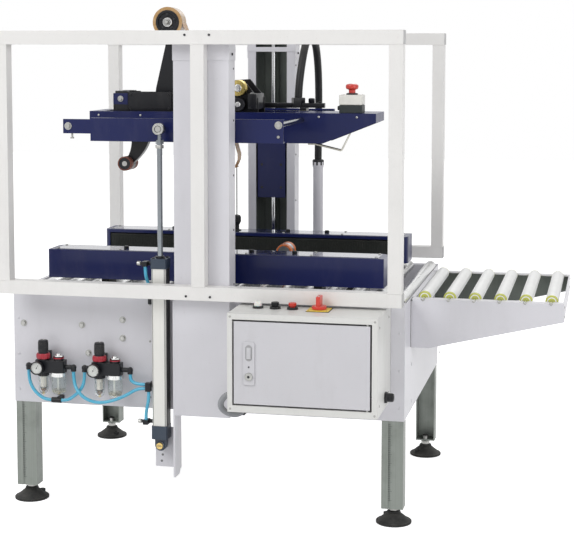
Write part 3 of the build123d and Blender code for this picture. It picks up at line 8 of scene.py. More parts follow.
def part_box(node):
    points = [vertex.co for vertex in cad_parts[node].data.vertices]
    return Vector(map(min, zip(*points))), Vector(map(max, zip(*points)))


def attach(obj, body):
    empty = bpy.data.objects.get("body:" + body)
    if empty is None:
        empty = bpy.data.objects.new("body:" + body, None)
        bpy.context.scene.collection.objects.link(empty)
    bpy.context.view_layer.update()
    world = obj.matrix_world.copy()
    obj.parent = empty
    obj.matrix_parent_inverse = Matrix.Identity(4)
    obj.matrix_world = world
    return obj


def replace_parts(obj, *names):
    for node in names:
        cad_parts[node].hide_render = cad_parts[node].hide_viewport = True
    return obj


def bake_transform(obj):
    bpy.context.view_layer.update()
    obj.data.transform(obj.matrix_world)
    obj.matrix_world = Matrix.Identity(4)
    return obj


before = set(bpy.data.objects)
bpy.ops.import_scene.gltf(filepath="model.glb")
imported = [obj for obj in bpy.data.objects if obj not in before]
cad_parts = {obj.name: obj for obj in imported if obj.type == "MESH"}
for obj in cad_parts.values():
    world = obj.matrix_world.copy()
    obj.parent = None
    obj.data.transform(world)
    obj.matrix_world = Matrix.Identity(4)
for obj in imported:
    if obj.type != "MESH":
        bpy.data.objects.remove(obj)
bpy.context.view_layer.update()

# The skirt: two long side panels and two end panels of folded sheet steel, powder coated a
# cool lavender grey. The coat has a fine orange peel, thins at the folds and is dulled by hands.


def node(tree, kind, settings=(), **inputs):
    made = tree.nodes.new("ShaderNode" + kind)
    for name, value in dict(settings).items():
        setattr(made, name, value)
    for name, value in inputs.items():
        place = name.replace("_", " ")
        by_number = place[0] == "i" and place[1:].isdigit()
        socket = made.inputs[int(place[1:]) if by_number else place]
        if isinstance(value, bpy.types.NodeSocket):
            tree.links.new(value, socket)
        else:
            socket.default_value = value
    return made


def effect(name, inputs, outputs):
    tree = bpy.data.node_groups.new(name, "ShaderNodeTree")
    kinds = {"colour": "NodeSocketColor", "value": "NodeSocketFloat", "vector": "NodeSocketVector"}
    for label, kind, start in inputs:
        socket = tree.interface.new_socket(label, in_out="INPUT", socket_type=kinds[kind])
        socket.default_value = start
    for label, kind in outputs:
        tree.interface.new_socket(label, in_out="OUTPUT", socket_type=kinds[kind])
    entry, leave = tree.nodes.new("NodeGroupInput"), tree.nodes.new("NodeGroupOutput")
    return tree, entry.outputs, leave.inputs


def math_of(tree, operation, first, second, clamp=False):
    made = node(tree, "Math", {"operation": operation, "use_clamp": clamp}, i0=first, i1=second)
    return made.outputs[0]


def blend_of(tree, factor, first, second):
    made = node(tree, "Mix", {"data_type": "RGBA"}, i0=factor, i6=first, i7=second)
    return made.outputs[2]


def spread_of(tree, value, low, high, start=0.0, end=1.0):
    made = node(tree, "MapRange", {}, Value=value, From_Min=low, From_Max=high, To_Min=start,
                To_Max=end)
    return made.outputs[0]


def noise_of(tree, where, scale, detail, roughness=0.5):
    made = node(tree, "TexNoise", {}, Vector=where, Scale=scale, Detail=detail, Roughness=roughness)
    return made.outputs[0]


edge_wear, given, back = effect(
    "worn edges", [("Width", "value", 0.0015), ("Amount", "value", 0.5)], [("Mask", "value")])
rounded = node(edge_wear, "Bevel", {"samples": 4}, Radius=given["Width"])
flat = node(edge_wear, "NewGeometry")
angle = node(edge_wear, "VectorMath", {"operation": "DOT_PRODUCT"}, i0=rounded.outputs[0],
             i1=flat.outputs["Normal"])
where = node(edge_wear, "TexCoord").outputs["Object"]
patches = noise_of(edge_wear, where, 38.0, 4.0)
edge = spread_of(edge_wear, angle.outputs["Value"], 0.995, 0.86)
broken = math_of(edge_wear, "MULTIPLY", edge, spread_of(edge_wear, patches, 0.38, 0.62))
edge_wear.links.new(math_of(edge_wear, "MULTIPLY", broken, given["Amount"], True), back["Mask"])

surface = [("Colour", "colour"), ("Roughness", "value"), ("Height", "value")]
powder_coat, given, back = effect(
    "powder coat",
    [("Paint", "colour", (0.6, 0.6, 0.65, 1)), ("Worn paint", "colour", (0.8, 0.8, 0.82, 1)),
     ("Shine", "value", 0.35), ("Peel", "value", 420.0), ("Handling", "value", 0.5),
     ("Wear", "value", 0.5)], surface)
where = node(powder_coat, "TexCoord").outputs["Object"]
cloud = noise_of(powder_coat, where, 3.1, 5.0, 0.62)
peel = noise_of(powder_coat, where, given["Peel"], 2.0)
smear_room = node(powder_coat, "VectorMath", {"operation": "MULTIPLY"}, i0=where,
                  i1=(9.0, 9.0, 2.4)).outputs[0]
smear = noise_of(powder_coat, smear_room, 1.0, 6.0, 0.7)
specks = noise_of(powder_coat, where, 240.0, 1.0)
marks = math_of(powder_coat, "MULTIPLY", spread_of(powder_coat, smear, 0.5, 0.74),
                given["Handling"])
brightness = spread_of(powder_coat, cloud, 0.25, 0.75, 0.965, 1.03)
shade = node(powder_coat, "HueSaturation", {}, Value=brightness, Color=given["Paint"]).outputs[0]
shade = blend_of(powder_coat, math_of(powder_coat, "MULTIPLY", marks, 0.16), shade,
                 (0.33, 0.31, 0.29, 1))
shade = blend_of(powder_coat, spread_of(powder_coat, specks, 0.72, 0.8, 0.0, 0.12), shade,
                 (0.12, 0.11, 0.1, 1))
worn = node(powder_coat, "Group", {"node_tree": edge_wear}, Width=0.0016,
            Amount=given["Wear"]).outputs[0]
shade = blend_of(powder_coat, worn, shade, given["Worn paint"])
powder_coat.links.new(shade, back["Colour"])
dull = math_of(powder_coat, "ADD", given["Shine"], math_of(powder_coat, "MULTIPLY", marks, 0.22))
dull = math_of(powder_coat, "ADD", dull, spread_of(powder_coat, cloud, 0.2, 0.8, -0.04, 0.05))
powder_coat.links.new(dull, back["Roughness"])
powder_coat.links.new(peel, back["Height"])


def finish(name, kind, values, depth, rounding=0.0012, **sockets):
    material = bpy.data.materials.new(name)
    material.use_nodes = True
    tree = material.node_tree
    shader = tree.nodes["Principled BSDF"]
    made = node(tree, "Group", {"node_tree": kind}, **values)
    tree.links.new(made.outputs["Colour"], shader.inputs["Base Color"])
    tree.links.new(made.outputs["Roughness"], shader.inputs["Roughness"])
    soft = node(tree, "Bevel", {"samples": 4}, Radius=rounding)
    bump = node(tree, "Bump", {}, Strength=0.6, Distance=depth, Height=made.outputs["Height"],
                Normal=soft.outputs[0])
    tree.links.new(bump.outputs[0], shader.inputs["Normal"])
    for socket, value in sockets.items():
        shader.inputs[socket.replace("_", " ")].default_value = value
    return material


def dress(material, *names):
    for name in names:
        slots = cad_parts[name].data.materials
        slots.clear()
        slots.append(material)


def paint(name, colour, worn_colour, shine, handling=0.5, wear=0.5, peel=420.0, depth=0.0002,
          **sockets):
    return finish(name, powder_coat, dict(
        Paint=(*colour, 1), Worn_paint=(*worn_colour, 1), Shine=shine, Peel=peel,
        Handling=handling, Wear=wear), depth=depth, **sockets)


panel_paint = paint("lavender powder coat", (0.672, 0.666, 0.705), (0.78, 0.78, 0.81), 0.36,
                    0.55, 0.55)
dress(panel_paint, "front_panel", "rear_panel", "end_panels")

# Legs: four aluminium extrusions, each an open channel with a long groove and a height scale
# punched beside it, so that the bed can be set level.

drawn_metal, given, back = effect(
    "drawn metal",
    [("Metal", "colour", (0.6, 0.62, 0.62, 1)), ("Stain", "colour", (0.3, 0.3, 0.29, 1)),
     ("Shine", "value", 0.3), ("Lines", "vector", (300.0, 300.0, 6.0)),
     ("Handling", "value", 0.4)], surface)
where = node(drawn_metal, "TexCoord").outputs["Object"]
stretched = node(drawn_metal, "VectorMath", {"operation": "MULTIPLY"}, i0=where,
                 i1=given["Lines"]).outputs[0]
lines = noise_of(drawn_metal, stretched, 1.0, 3.0, 0.7)
cloud = noise_of(drawn_metal, where, 11.0, 5.0, 0.65)
nicks = node(drawn_metal, "TexVoronoi", {"feature": "F1"}, Vector=where, Scale=130.0).outputs[0]
spots = math_of(drawn_metal, "MULTIPLY", spread_of(drawn_metal, cloud, 0.48, 0.72),
                given["Handling"])
shade = blend_of(drawn_metal, math_of(drawn_metal, "MULTIPLY", spots, 0.55), given["Metal"],
                 given["Stain"])
shade = blend_of(drawn_metal, spread_of(drawn_metal, lines, 0.35, 0.65, 0.0, 0.16), shade,
                 given["Stain"])
drawn_metal.links.new(shade, back["Colour"])
dull = math_of(drawn_metal, "ADD", given["Shine"],
               spread_of(drawn_metal, lines, 0.3, 0.7, -0.05, 0.08))
dull = math_of(drawn_metal, "ADD", dull, math_of(drawn_metal, "MULTIPLY", spots, 0.18))
drawn_metal.links.new(dull, back["Roughness"])
dents = spread_of(drawn_metal, nicks, 0.0, 0.12, 0.4, 0.0)
drawn_metal.links.new(math_of(drawn_metal, "SUBTRACT", lines, dents), back["Height"])

leg_metal = finish("extruded aluminium", drawn_metal,
                   dict(Metal=(0.235, 0.255, 0.235, 1), Stain=(0.13, 0.14, 0.125, 1), Shine=0.42,
                        Lines=(420.0, 420.0, 3.0), Handling=0.6), depth=0.00012, Metallic=0.75)
dress(leg_metal, "legs")


def cube_in(mesh, place, slot):
    made = bmesh.ops.create_cube(mesh, size=1.0)
    bmesh.ops.transform(mesh, matrix=place, verts=made["verts"])
    faces = dict.fromkeys(face for vert in made["verts"] for face in vert.link_faces)
    for face in faces:
        face.material_index = slot
    return faces


def box_in(mesh, low, high, edge=0.0, slot=0, steps=1):
    size = [abs(b - a) for a, b in zip(low, high)]
    middle = [(a + b) / 2 for a, b in zip(low, high)]
    faces = cube_in(mesh, Matrix.LocRotScale(Vector(middle), None, Vector(size)), slot)
    if edge:
        edges = list(dict.fromkeys(side for face in faces for side in face.edges))
        bmesh.ops.bevel(mesh, geom=edges, offset=edge, segments=steps, affect="EDGES",
                        profile=0.6, material=slot)


def circle(radius, count, start=0.0):
    turns = [start + 2 * math.pi * k / count for k in range(count)]
    return [(radius * math.cos(turn), radius * math.sin(turn)) for turn in turns]


def turned_in(mesh, profile, at, axis=(0, 0, 1), steps=32, slot=0):
    place = Matrix.Translation(at) @ Vector(axis).to_track_quat("Z", "Y").to_matrix().to_4x4()
    rings = []
    for radius, height in profile:
        around = circle(radius, steps) if radius > 1e-6 else [(0, 0)]
        rings.append([mesh.verts.new(place @ Vector((x, y, height))) for x, y in around])
    for low, high in zip(rings, rings[1:]):
        for k in range(steps):
            after = (k + 1) % steps
            if len(low) > 1 and len(high) > 1:
                corners = (low[k], low[after], high[after], high[k])
            elif len(high) > 1:
                corners = (low[0], high[after], high[k])
            elif len(low) > 1:
                corners = (low[k], low[after], high[0])
            else:
                continue
            face = mesh.faces.new(corners)
            face.material_index = slot


def disc(radius, top, bottom=0):
    return [(0, bottom), (radius, bottom), (radius, top), (0, top)]


def piece(name, mesh, materials, body=None):
    sharpest_smooth_edge = 35
    bmesh.ops.recalc_face_normals(mesh, faces=mesh.faces)
    for face in mesh.faces:
        face.smooth = True
    data = bpy.data.meshes.new(name)
    mesh.to_mesh(data)
    mesh.free()
    for material in materials:
        data.materials.append(material)
    data.set_sharp_from_angle(angle=math.radians(sharpest_smooth_edge))
    made = bpy.data.objects.new(name, data)
    bpy.context.scene.collection.objects.link(made)
    if body:
        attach(made, body)
    return made


def metal(name, colour, shine=0.3, lines=(60.0, 60.0, 60.0), handling=0.4, **sockets):
    stain = [channel * 0.5 for channel in colour] + [1]
    return finish(name, drawn_metal, dict(Metal=(*colour, 1), Stain=stain, Shine=shine,
                                          Lines=lines, Handling=handling),
                  depth=0.00005, rounding=0.0006, Metallic=1.0, **sockets)


zinc = metal("zinc plated screws", (0.40, 0.40, 0.385), 0.34)
black_steel = metal("blackened screws", (0.045, 0.045, 0.05), 0.38)
scale_ink = paint("scale marks", (0.07, 0.08, 0.08), (0.2, 0.22, 0.22), 0.5, wear=0.0,
                  depth=0.0001)


def screw_in(mesh, at, axis, radius, tall, slot=0, kind="socket"):
    if kind == "hex":
        washer = radius * 0.16
        turned_in(mesh, disc(radius * 1.35, washer), at, axis, 24, slot)
        turned_in(mesh, [(0, 0), (radius, 0), (radius, tall * 0.82), (radius * 0.86, tall),
                         (0, tall)], Vector(at) + Vector(axis) * washer, axis, 6, slot)
    elif kind == "pan":
        turned_in(mesh, [(0, 0), (radius, 0), (radius * 0.96, tall * 0.45),
                         (radius * 0.7, tall * 0.85), (radius * 0.3, tall),
                         (radius * 0.26, tall * 0.55), (0, tall * 0.5)], at, axis, 20, slot)
    else:
        turned_in(mesh, [(0, 0), (radius, 0), (radius, tall * 0.85), (radius * 0.9, tall),
                         (radius * 0.52, tall), (radius * 0.5, tall * 0.35), (0, tall * 0.35)],
                  at, axis, 24, slot)


marks = bmesh.new()
low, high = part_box("legs")
groove_x, scale_bottom, mark_pitch, mark_count = high.x - 0.032, 0.075, 0.0055, 42
mark_raised, mark_tall, long_mark, short_mark = 0.0004, 0.0009, 0.011, 0.0065
for side_x in (-1, 1):
    for side_y in (-1, 1):
        x, face_y = side_x * groove_x - 0.012, side_y * high.y
        for step in range(mark_count):
            z = scale_bottom + step * mark_pitch
            long = long_mark if step % 5 == 0 else short_mark
            box_in(marks, (x, face_y - mark_raised, z),
                   (x + long, face_y + mark_raised, z + mark_tall))
piece("leg_scales", marks, [scale_ink], "frame")

# Levelling feet: a rubber-skirted pad on a threaded stud, locked by a zinc nut under the leg.
# The rubber is dull black, ribbed round its rim and dusty from the floor.

moulded, given, back = effect(
    "moulded skin",
    [("Skin", "colour", (0.02, 0.02, 0.022, 1)), ("Dust", "colour", (0.35, 0.33, 0.3, 1)),
     ("Shine", "value", 0.5), ("Grain", "value", 900.0), ("Dusting", "value", 0.4)], surface)
where = node(moulded, "TexCoord").outputs["Object"]
grain = node(moulded, "TexVoronoi", {"feature": "SMOOTH_F1"}, Vector=where,
             Scale=given["Grain"]).outputs[0]
cloud = noise_of(moulded, where, 17.0, 6.0, 0.68)
normal = node(moulded, "NewGeometry").outputs["Normal"]
facing = node(moulded, "SeparateXYZ", {}, i0=normal).outputs[2]
settled = math_of(moulded, "MULTIPLY", spread_of(moulded, facing, 0.1, 0.9),
                  spread_of(moulded, cloud, 0.3, 0.75))
settled = math_of(moulded, "MULTIPLY", settled, given["Dusting"], True)
shade = node(moulded, "HueSaturation", {}, Value=spread_of(moulded, cloud, 0.25, 0.75, 0.9, 1.1),
             Color=given["Skin"]).outputs[0]
worn = node(moulded, "Group", {"node_tree": edge_wear}, Width=0.0008, Amount=0.25).outputs[0]
shade = blend_of(moulded, worn, shade, given["Dust"])
moulded.links.new(blend_of(moulded, settled, shade, given["Dust"]), back["Colour"])
dull = math_of(moulded, "ADD", given["Shine"], math_of(moulded, "MULTIPLY", settled, 0.35))
dull = math_of(moulded, "ADD", dull, spread_of(moulded, cloud, 0.2, 0.8, -0.05, 0.06))
moulded.links.new(dull, back["Roughness"])
moulded.links.new(grain, back["Height"])


def plastic(name, colour, shine=0.42, dusting=0.25, grain=1100.0, depth=0.00012,
            dust=(0.42, 0.40, 0.37), rounding=0.0008, **sockets):
    darkest_pale, dark_gloss = 0.12, 0.26
    if max(colour) < darkest_pale:
        sockets.setdefault("Specular_IOR_Level", dark_gloss)
    return finish(name, moulded, dict(Skin=(*colour, 1), Dust=(*dust, 1), Shine=shine,
                                      Grain=grain, Dusting=dusting),
                  depth=depth, rounding=rounding, **sockets)


foot_rubber = plastic("foot rubber", (0.013, 0.014, 0.0145), 0.62, 0.22, 700.0)
dress(foot_rubber, "levelling_feet")
low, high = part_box("levelling_feet")
pad_radius, thread_pitch = 0.051, 0.002
foot_x, foot_y = high.x - pad_radius, high.y - pad_radius
thread = [(0, 0.033)]
for turn in range(16):
    thread += [(0.0092, 0.034 + turn * thread_pitch), (0.0099, 0.035 + turn * thread_pitch)]
thread.append((0, 0.066))
lock_nut = [(0, 0.0378), (0.0142, 0.0378), (0.0142, 0.0462), (0.0126, 0.0474), (0, 0.0474)]
pad_rim = [(0.049, 0.0005), (0.0522, 0.0008), (0.0526, 0.003), (0.0514, 0.0048),
           (0.0526, 0.0062), (0.0510, 0.0078), (0.048, 0.0082)]
boot = [(0.017, 0.030), (0.0205, 0.0322), (0.0195, 0.0352), (0.0105, 0.0362), (0.009, 0.035)]
studs, ribs = bmesh.new(), bmesh.new()
for x in (-foot_x, foot_x):
    for y in (-foot_y, foot_y):
        turned_in(studs, thread, (x, y, 0), steps=24)
        turned_in(studs, lock_nut, (x, y, 0), steps=6)
        turned_in(studs, disc(0.0155, 0.0496, 0.0478), (x, y, 0), steps=28)
        turned_in(ribs, pad_rim, (x, y, 0), steps=64)
        turned_in(ribs, boot, (x, y, 0), steps=40)
piece("foot_studs", studs, [zinc], "frame")
piece("foot_rims", ribs, [foot_rubber], "frame")

# Screws of the skirt: zinc hexagon heads that hold the slide rods and the air sets' brackets,
# and small pan heads down the edge where the side panel meets its cover behind the cylinder.

heads = bmesh.new()
skirt_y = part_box("front_panel")[0].y
cover_x, corner_x, end_x = -0.167, 0.585, 0.612
for x, z in ((-0.568, 0.555), (-0.381, 0.556), (-0.252, 0.577), (-0.252, 0.521), (-0.361, 0.471)):
    for side in (1, -1):
        screw_in(heads, (x, side * skirt_y, z), (0, -side, 0), 0.0075, 0.006, kind="hex")
for z in (0.627, 0.515, 0.345):
    for side in (1, -1):
        screw_in(heads, (cover_x, side * skirt_y, z), (0, -side, 0), 0.0035, 0.0022, kind="pan")
for x in (corner_x, -corner_x):
    for z in (0.35, 0.46, 0.57):
        for side in (1, -1):
            screw_in(heads, (x, side * skirt_y, z), (0, -side, 0), 0.0038, 0.0018, 1, "pan")
for y in (-0.36, 0.36):
    for z in (0.36, 0.47):
        for out in (-1, 1):
            screw_in(heads, (out * end_x, y, z), (out, 0, 0), 0.0050, 0.0024, 1, "pan")
piece("skirt_screws", heads, [zinc, panel_paint], "frame")

# Bed rollers: zinc plated tube turning on pressed bearings and ground axles. Turning leaves
# fine rings round each roller, and cartons polish the middle of its top. Beside the lower tape
# head each roller is split in two.

roller_zinc = metal("zinc roller tube", (0.70, 0.705, 0.70), 0.24, (5.0, 520.0, 5.0), 0.5)
ground_steel = metal("ground shafts", (0.62, 0.63, 0.64), 0.14, (420.0, 420.0, 4.0), 0.25)
bearing_black = plastic("bearing housing", (0.03, 0.03, 0.032), 0.45)
dress(roller_zinc, "bed_rollers", "last_bed_roller")
dress(ground_steel, "roller_axles")
low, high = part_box("last_bed_roller")
last_x, middle_z, radius = (low.x + high.x) / 2, (low.z + high.z) / 2, (high.z - low.z) / 2
roller_pitch, split_x, split_y = 0.0745, 0.2549, 0.072
bearing = [(0.0052, 0.0006), (radius - 0.0035, 0.0006), (radius - 0.002, 0.0016),
           (radius - 0.001, 0.0002)]
rim = bmesh.new()
for x in [last_x - roller_pitch * k for k in range(1, 16)]:
    ends = [low.y, high.y] if abs(x) > split_x else [low.y, -split_y, split_y, high.y]
    for y in ends:
        out = -1 if y in (low.y, split_y) else 1
        turned_in(rim, bearing, (x, y, middle_z), (0, out, 0), 32)
piece("bed_roller_ends", rim, [bearing_black], "frame")
rim = bmesh.new()
for y, out in ((low.y, -1), (high.y, 1)):
    turned_in(rim, bearing, (last_x, y, middle_z), (0, out, 0), 32)
piece("last_roller_ends", rim, [bearing_black], "last_bed_roller")

# Guard frames: square steel tube, powder coated near white, with moulded plugs in the open
# ends and socket screws through the rails into the columns.

guard_paint = paint("white powder coat", (0.80, 0.79, 0.775), (0.86, 0.86, 0.85), 0.34, 0.5, 0.4)
dress(guard_paint, "guard_posts", "guard_rails")
plug_grey = plastic("tube plugs", (0.50, 0.50, 0.50), 0.5, 0.2)
plugs, heads, seams = bmesh.new(), bmesh.new(), bmesh.new()
low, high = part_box("guard_rails")
tube, plug_half, plug_in, plug_out = 0.040, 0.0195, 0.004, 0.0022
middle_post, weld_half, weld_radius = 0.014, 0.0203, 0.0011
for side in (-1, 1):
    y = side * (high.y - tube / 2)
    for z in (low.z + tube / 2, high.z - tube / 2):
        for x, out in ((low.x, -1), (high.x, 1)):
            box_in(plugs, (x - out * plug_in, y - plug_half, z - plug_half),
                   (x + out * plug_out, y + plug_half, z + plug_half), 0.0018, steps=2)
    for z in (high.z - 0.013, low.z + 0.012):
        for x in (-0.022, 0.050):
            screw_in(heads, (x, side * high.y, z), (0, side, 0), 0.0034, 0.0022)
    for x in (low.x + tube / 2, middle_post, high.x - tube / 2):
        for z in (low.z + tube, high.z - tube):
            bead = [(x + dx * weld_half, y + dy * weld_half)
                    for dx, dy in ((-1, -1), (1, -1), (1, 1), (-1, 1))]
            for (ax, ay), (bx, by) in zip(bead, bead[1:] + bead[:1]):
                turned_in(seams, disc(weld_radius, 2 * weld_half), (ax, ay, z),
                          (bx - ax, by - ay, 0), 8)
piece("tube_plugs", plugs, [plug_grey], "frame")
piece("guard_screws", heads, [black_steel], "frame")
piece("guard_welds", seams, [guard_paint], "frame")

# Columns: two deep channels of folded sheet in the skirt's colour, bolted inside the guard
# frames. Their insides are lined with ribbed sheet, dark partly as bare steel and partly as
# painted shade where little light gets in. Small socket screws hold their sleeve caps, and two
# ground shafts stand in each for the head's bearing blocks.

dress(panel_paint, "front_column", "rear_column", "column_caps")
dress(ground_steel, "guide_shafts")
heads = bmesh.new()
low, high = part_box("column_caps")
cap_screw_y, column_screw_y = 0.462, 0.438
for side in (-1, 1):
    for x, out in ((low.x, -1), (high.x, 1)):
        for z in (low.z + 0.018, high.z - 0.020):
            screw_in(heads, (x, side * cap_screw_y, z), (out, 0, 0), 0.0038, 0.0034)
low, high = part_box("front_column")
for side in (-1, 1):
    for z in (0.70, 0.86, 1.02, 1.18, 1.33):
        for x, out in ((low.x, -1), (high.x, 1)):
            screw_in(heads, (x, side * column_screw_y, z), (out, 0, 0), 0.0032, 0.0018,
                     kind="pan")
piece("column_screws", heads, [black_steel], "frame")
# Dark sheet for the column and table insides: partly bare steel, partly painted shade.
bare_and_shaded_inside = finish("bare inside with painted shade", drawn_metal,
                     dict(Metal=(0.125, 0.140, 0.128, 1), Stain=(0.060, 0.066, 0.060, 1),
                          Shine=0.45, Lines=(260.0, 260.0, 2.0), Handling=0.5),
                     depth=0.00012, Metallic=0.4, Specular_IOR_Level=0.3)
# Linings with ribs inside each column; their darkness is partly painted shade.
shaded_linings = bmesh.new()
sheet, lining, bottom = 0.0031, 0.0006, 0.660
rib_start, rib_pitch, rib_half, rib_out = 0.016, 0.0268, 0.0022, 0.0034
for side, name in ((-1, "front_column"), (1, "rear_column")):
    low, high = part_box(name)
    top = high.z - 0.004
    wall_y, mouth_y = (high.y, low.y) if side > 0 else (low.y, high.y)
    for x, out in ((low.x, 1), (high.x, -1)):
        inner = x + out * sheet
        box_in(shaded_linings, (inner, wall_y - side * 0.0036, bottom),
               (inner + out * lining, mouth_y + side * 0.0040, top))
    behind = wall_y - side * sheet
    box_in(shaded_linings, (low.x + 0.0038, behind, bottom),
           (high.x - 0.0038, behind - side * lining, top))
    for x in [low.x + rib_start + rib_pitch * k for k in range(6)]:
        box_in(shaded_linings, (x - rib_half, behind, bottom),
               (x + rib_half, behind - side * rib_out, top), 0.0008)
piece("column_shaded_linings", shaded_linings, [bare_and_shaded_inside], "frame")

# Outfeed table: two tapered side plates and an end plate of painted sheet, bolted to the skirt.
# Their inner faces are lined with dark sheet, partly bare steel and partly painted shade, and a
# dark strip in the gap at the skirt is a painted shadow. Six white gravity rollers in yellow-green
# end caps turn between the plates, and their axle ends are crimped into them.

dress(panel_paint, "exit_side_plates", "exit_end_plate")
roller_white = plastic("white roller shell", (0.88, 0.885, 0.875), 0.36, 0.12, 600.0, 0.00006)
cap_green = plastic("roller end caps", (0.56, 0.58, 0.10), 0.36, 0.15)
end_cap = [(0.0054, 0.0008), (0.0105, 0.0008), (0.0115, -0.0012), (0.0135, -0.0012),
           (0.0145, 0.0006), (0.0166, 0.0006), (0.0182, -0.0012), (0.0186, -0.0074),
           (0.0192, -0.0088), (0.0190, -0.0102)]
for number in range(1, 7):
    name = f"exit_roller_{number}"
    dress(roller_white, name)
    low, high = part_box(name)
    x, z = (low.x + high.x) / 2, (low.z + high.z) / 2
    caps = bmesh.new()
    for y, out in ((low.y, -1), (high.y, 1)):
        turned_in(caps, end_cap, (x, y, z), (0, out, 0), 40)
    piece(f"roller_caps_{number}", caps, [cap_green], name)
heads = bmesh.new()
low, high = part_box("exit_side_plates")
first_axle_x, axle_z = 0.636, 0.650
crimp = [(0, 0), (0.0048, 0), (0.0048, 0.0022), (0.0032, 0.0030), (0, 0.0024)]
for side in (-1, 1):
    for x in [first_axle_x + roller_pitch * k for k in range(6)]:
        turned_in(heads, crimp, (x, side * high.y, axle_z), (0, side, 0), 6)
    for z in (0.535, 0.60):
        screw_in(heads, (0.604, side * 0.275, z), (1, 0, 0), 0.0055, 0.0045, kind="hex")
    for z in (0.612, 0.640):
        screw_in(heads, (high.x, side * 0.280, z), (1, 0, 0), 0.0036, 0.0020, kind="pan")
piece("table_screws", heads, [zinc], "frame")
# Dark sheets on the side plates' inner faces, seen between the rollers: partly painted shade.
shaded_insides = bmesh.new()
plate_bottom, taper_end, lining_top = 0.5070, 0.5990, 0.6475
for side in (-1, 1):
    edge_y = side * (high.y - 0.0041)
    corners = [(low.x + 0.001, plate_bottom), (low.x + 0.050, plate_bottom),
               (high.x - 0.005, taper_end), (high.x - 0.005, lining_top),
               (low.x + 0.001, lining_top)]
    rings = [[shaded_insides.verts.new((x, edge_y - side * thick, z)) for x, z in corners]
             for thick in (0.0, 0.0006)]
    for ring in rings:
        shaded_insides.faces.new(ring)
    for k in range(len(corners)):
        after = (k + 1) % len(corners)
        shaded_insides.faces.new((rings[0][k], rings[0][after], rings[1][after], rings[1][k]))
piece("table_shaded_insides", shaded_insides, [bare_and_shaded_inside], "frame")
# A dark strip filling the gap between each side plate and the skirt: a painted shadow.
gap_shadow = bmesh.new()
for side in (-1, 1):
    box_in(gap_shadow, (low.x - 0.0014, side * high.y - 0.0038, plate_bottom),
           (low.x + 0.0004, side * high.y + 0.0004, 0.651))
piece("table_gap_shadow", gap_shadow, [bearing_black], "frame")

# Lifting cylinder: a square aluminium barrel with rounded corners and cast end caps, painted
# dark blue-green, held by a clevis on a bent painted bracket. A hard chromed rod with a ball
# eye, bolted to the head's front arm, lifts the head.

barrel_skin = finish("anodised barrel", drawn_metal,
                     dict(Metal=(0.74, 0.735, 0.70, 1), Stain=(0.56, 0.56, 0.54, 1), Shine=0.40,
                          Lines=(500.0, 500.0, 3.0), Handling=0.25), depth=0.00005, Metallic=0.25)
dress(barrel_skin, "cylinder_barrel")
teal_paint = paint("cap paint", (0.020, 0.036, 0.062), (0.22, 0.25, 0.27), 0.38, 0.3, 0.7, 700.0)
dress(teal_paint, "cylinder_caps")
chromed = metal("hard chrome", (0.245, 0.265, 0.285), 0.12, (300.0, 300.0, 5.0), 0.2)
dress(chromed, "cylinder_rod")
dress(panel_paint, "cylinder_bracket")
low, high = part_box("cylinder_caps")
centre = (low + high) / 2
tie, cap_bottom = 0.0165, 0.243
ties = bmesh.new()
for dx in (-tie, tie):
    for dy in (-tie, tie):
        x, y = centre.x + dx, centre.y + dy
        screw_in(ties, (x, y, high.z), (0, 0, 1), 0.0042, 0.0034)
        screw_in(ties, (x, y, cap_bottom), (0, 0, -1), 0.0042, 0.0034)
turned_in(ties, [(0.0085, 0), (0.0135, 0), (0.0135, 0.0045), (0.0118, 0.006), (0.0085, 0.006)],
          (centre.x, centre.y, high.z), (0, 0, 1), 40)
piece("cylinder_cap_screws", ties, [black_steel], "frame")
low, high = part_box("cylinder_barrel")
# Dark strips in the barrel's grooves, the pin's slot and the tab's screw holes: painted shade.
groove_and_slot_shade = plastic("groove shadow", (0.16, 0.165, 0.17), 0.55, 0.0)
lines, rails = bmesh.new(), bmesh.new()
bottom, top = low.z + 0.001, high.z - 0.001
for dx in (-1, 1):
    for dy in (-0.0150, -0.0060, 0.0060, 0.0150):
        x, y = centre.x + dx * 0.0220, centre.y + dy
        box_in(lines, (x - 0.0005, y - 0.0010, bottom), (x + 0.0005, y + 0.0010, top))
    for dy in (-1, 1):
        x, y = centre.x + dx * 0.0180, centre.y + dy * 0.0220
        box_in(lines, (x - 0.0006, y - 0.0005, bottom), (x + 0.0006, y + 0.0005, top))
rail_half, switch_half, switch_tall = 0.0172, 0.0080, 0.034
box_in(rails, (high.x - 0.0004, centre.y - rail_half, low.z + 0.0005),
       (high.x + 0.0016, centre.y + rail_half, high.z - 0.0005), 0.0006)
for z in (low.z + 0.070, high.z - 0.090):
    box_in(rails, (high.x + 0.0010, centre.y - switch_half, z),
           (high.x + 0.0052, centre.y + switch_half, z + switch_tall), 0.0014, 0, 2)
piece("barrel_grooves", lines, [groove_and_slot_shade], "frame")
piece("sensor_rail", rails, [bearing_black], "frame")
eye = bmesh.new()
low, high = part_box("cylinder_rod")
eye_at, jam_nut_z = Vector((centre.x, low.y, high.z - 0.017)), 1.0970
turned_in(eye, [(0, -0.0004), (0.0085, -0.0004), (0.0098, -0.0018), (0.0098, -0.003),
                (0.0060, -0.0032)], eye_at, (0, -1, 0), 32)
turned_in(eye, [(0.0105, 0.0002), (0.0128, 0.0008), (0.0162, 0.0006), (0.0172, -0.0012),
                (0.0172, -0.006)], eye_at, (0, -1, 0), 40)
turned_in(eye, [(0.0082, 0), (0.0118, 0), (0.0126, 0.0010), (0.0126, 0.0085), (0.0118, 0.0095),
                (0.0082, 0.0095)], (centre.x, centre.y, jam_nut_z), (0, 0, 1), 6)
piece("rod_eye_ring", eye, [zinc], "head")

# Speed controllers: small black elbow valves screwed into the barrel's caps, with a knurled
# silver needle that the operator turns to slow the head.

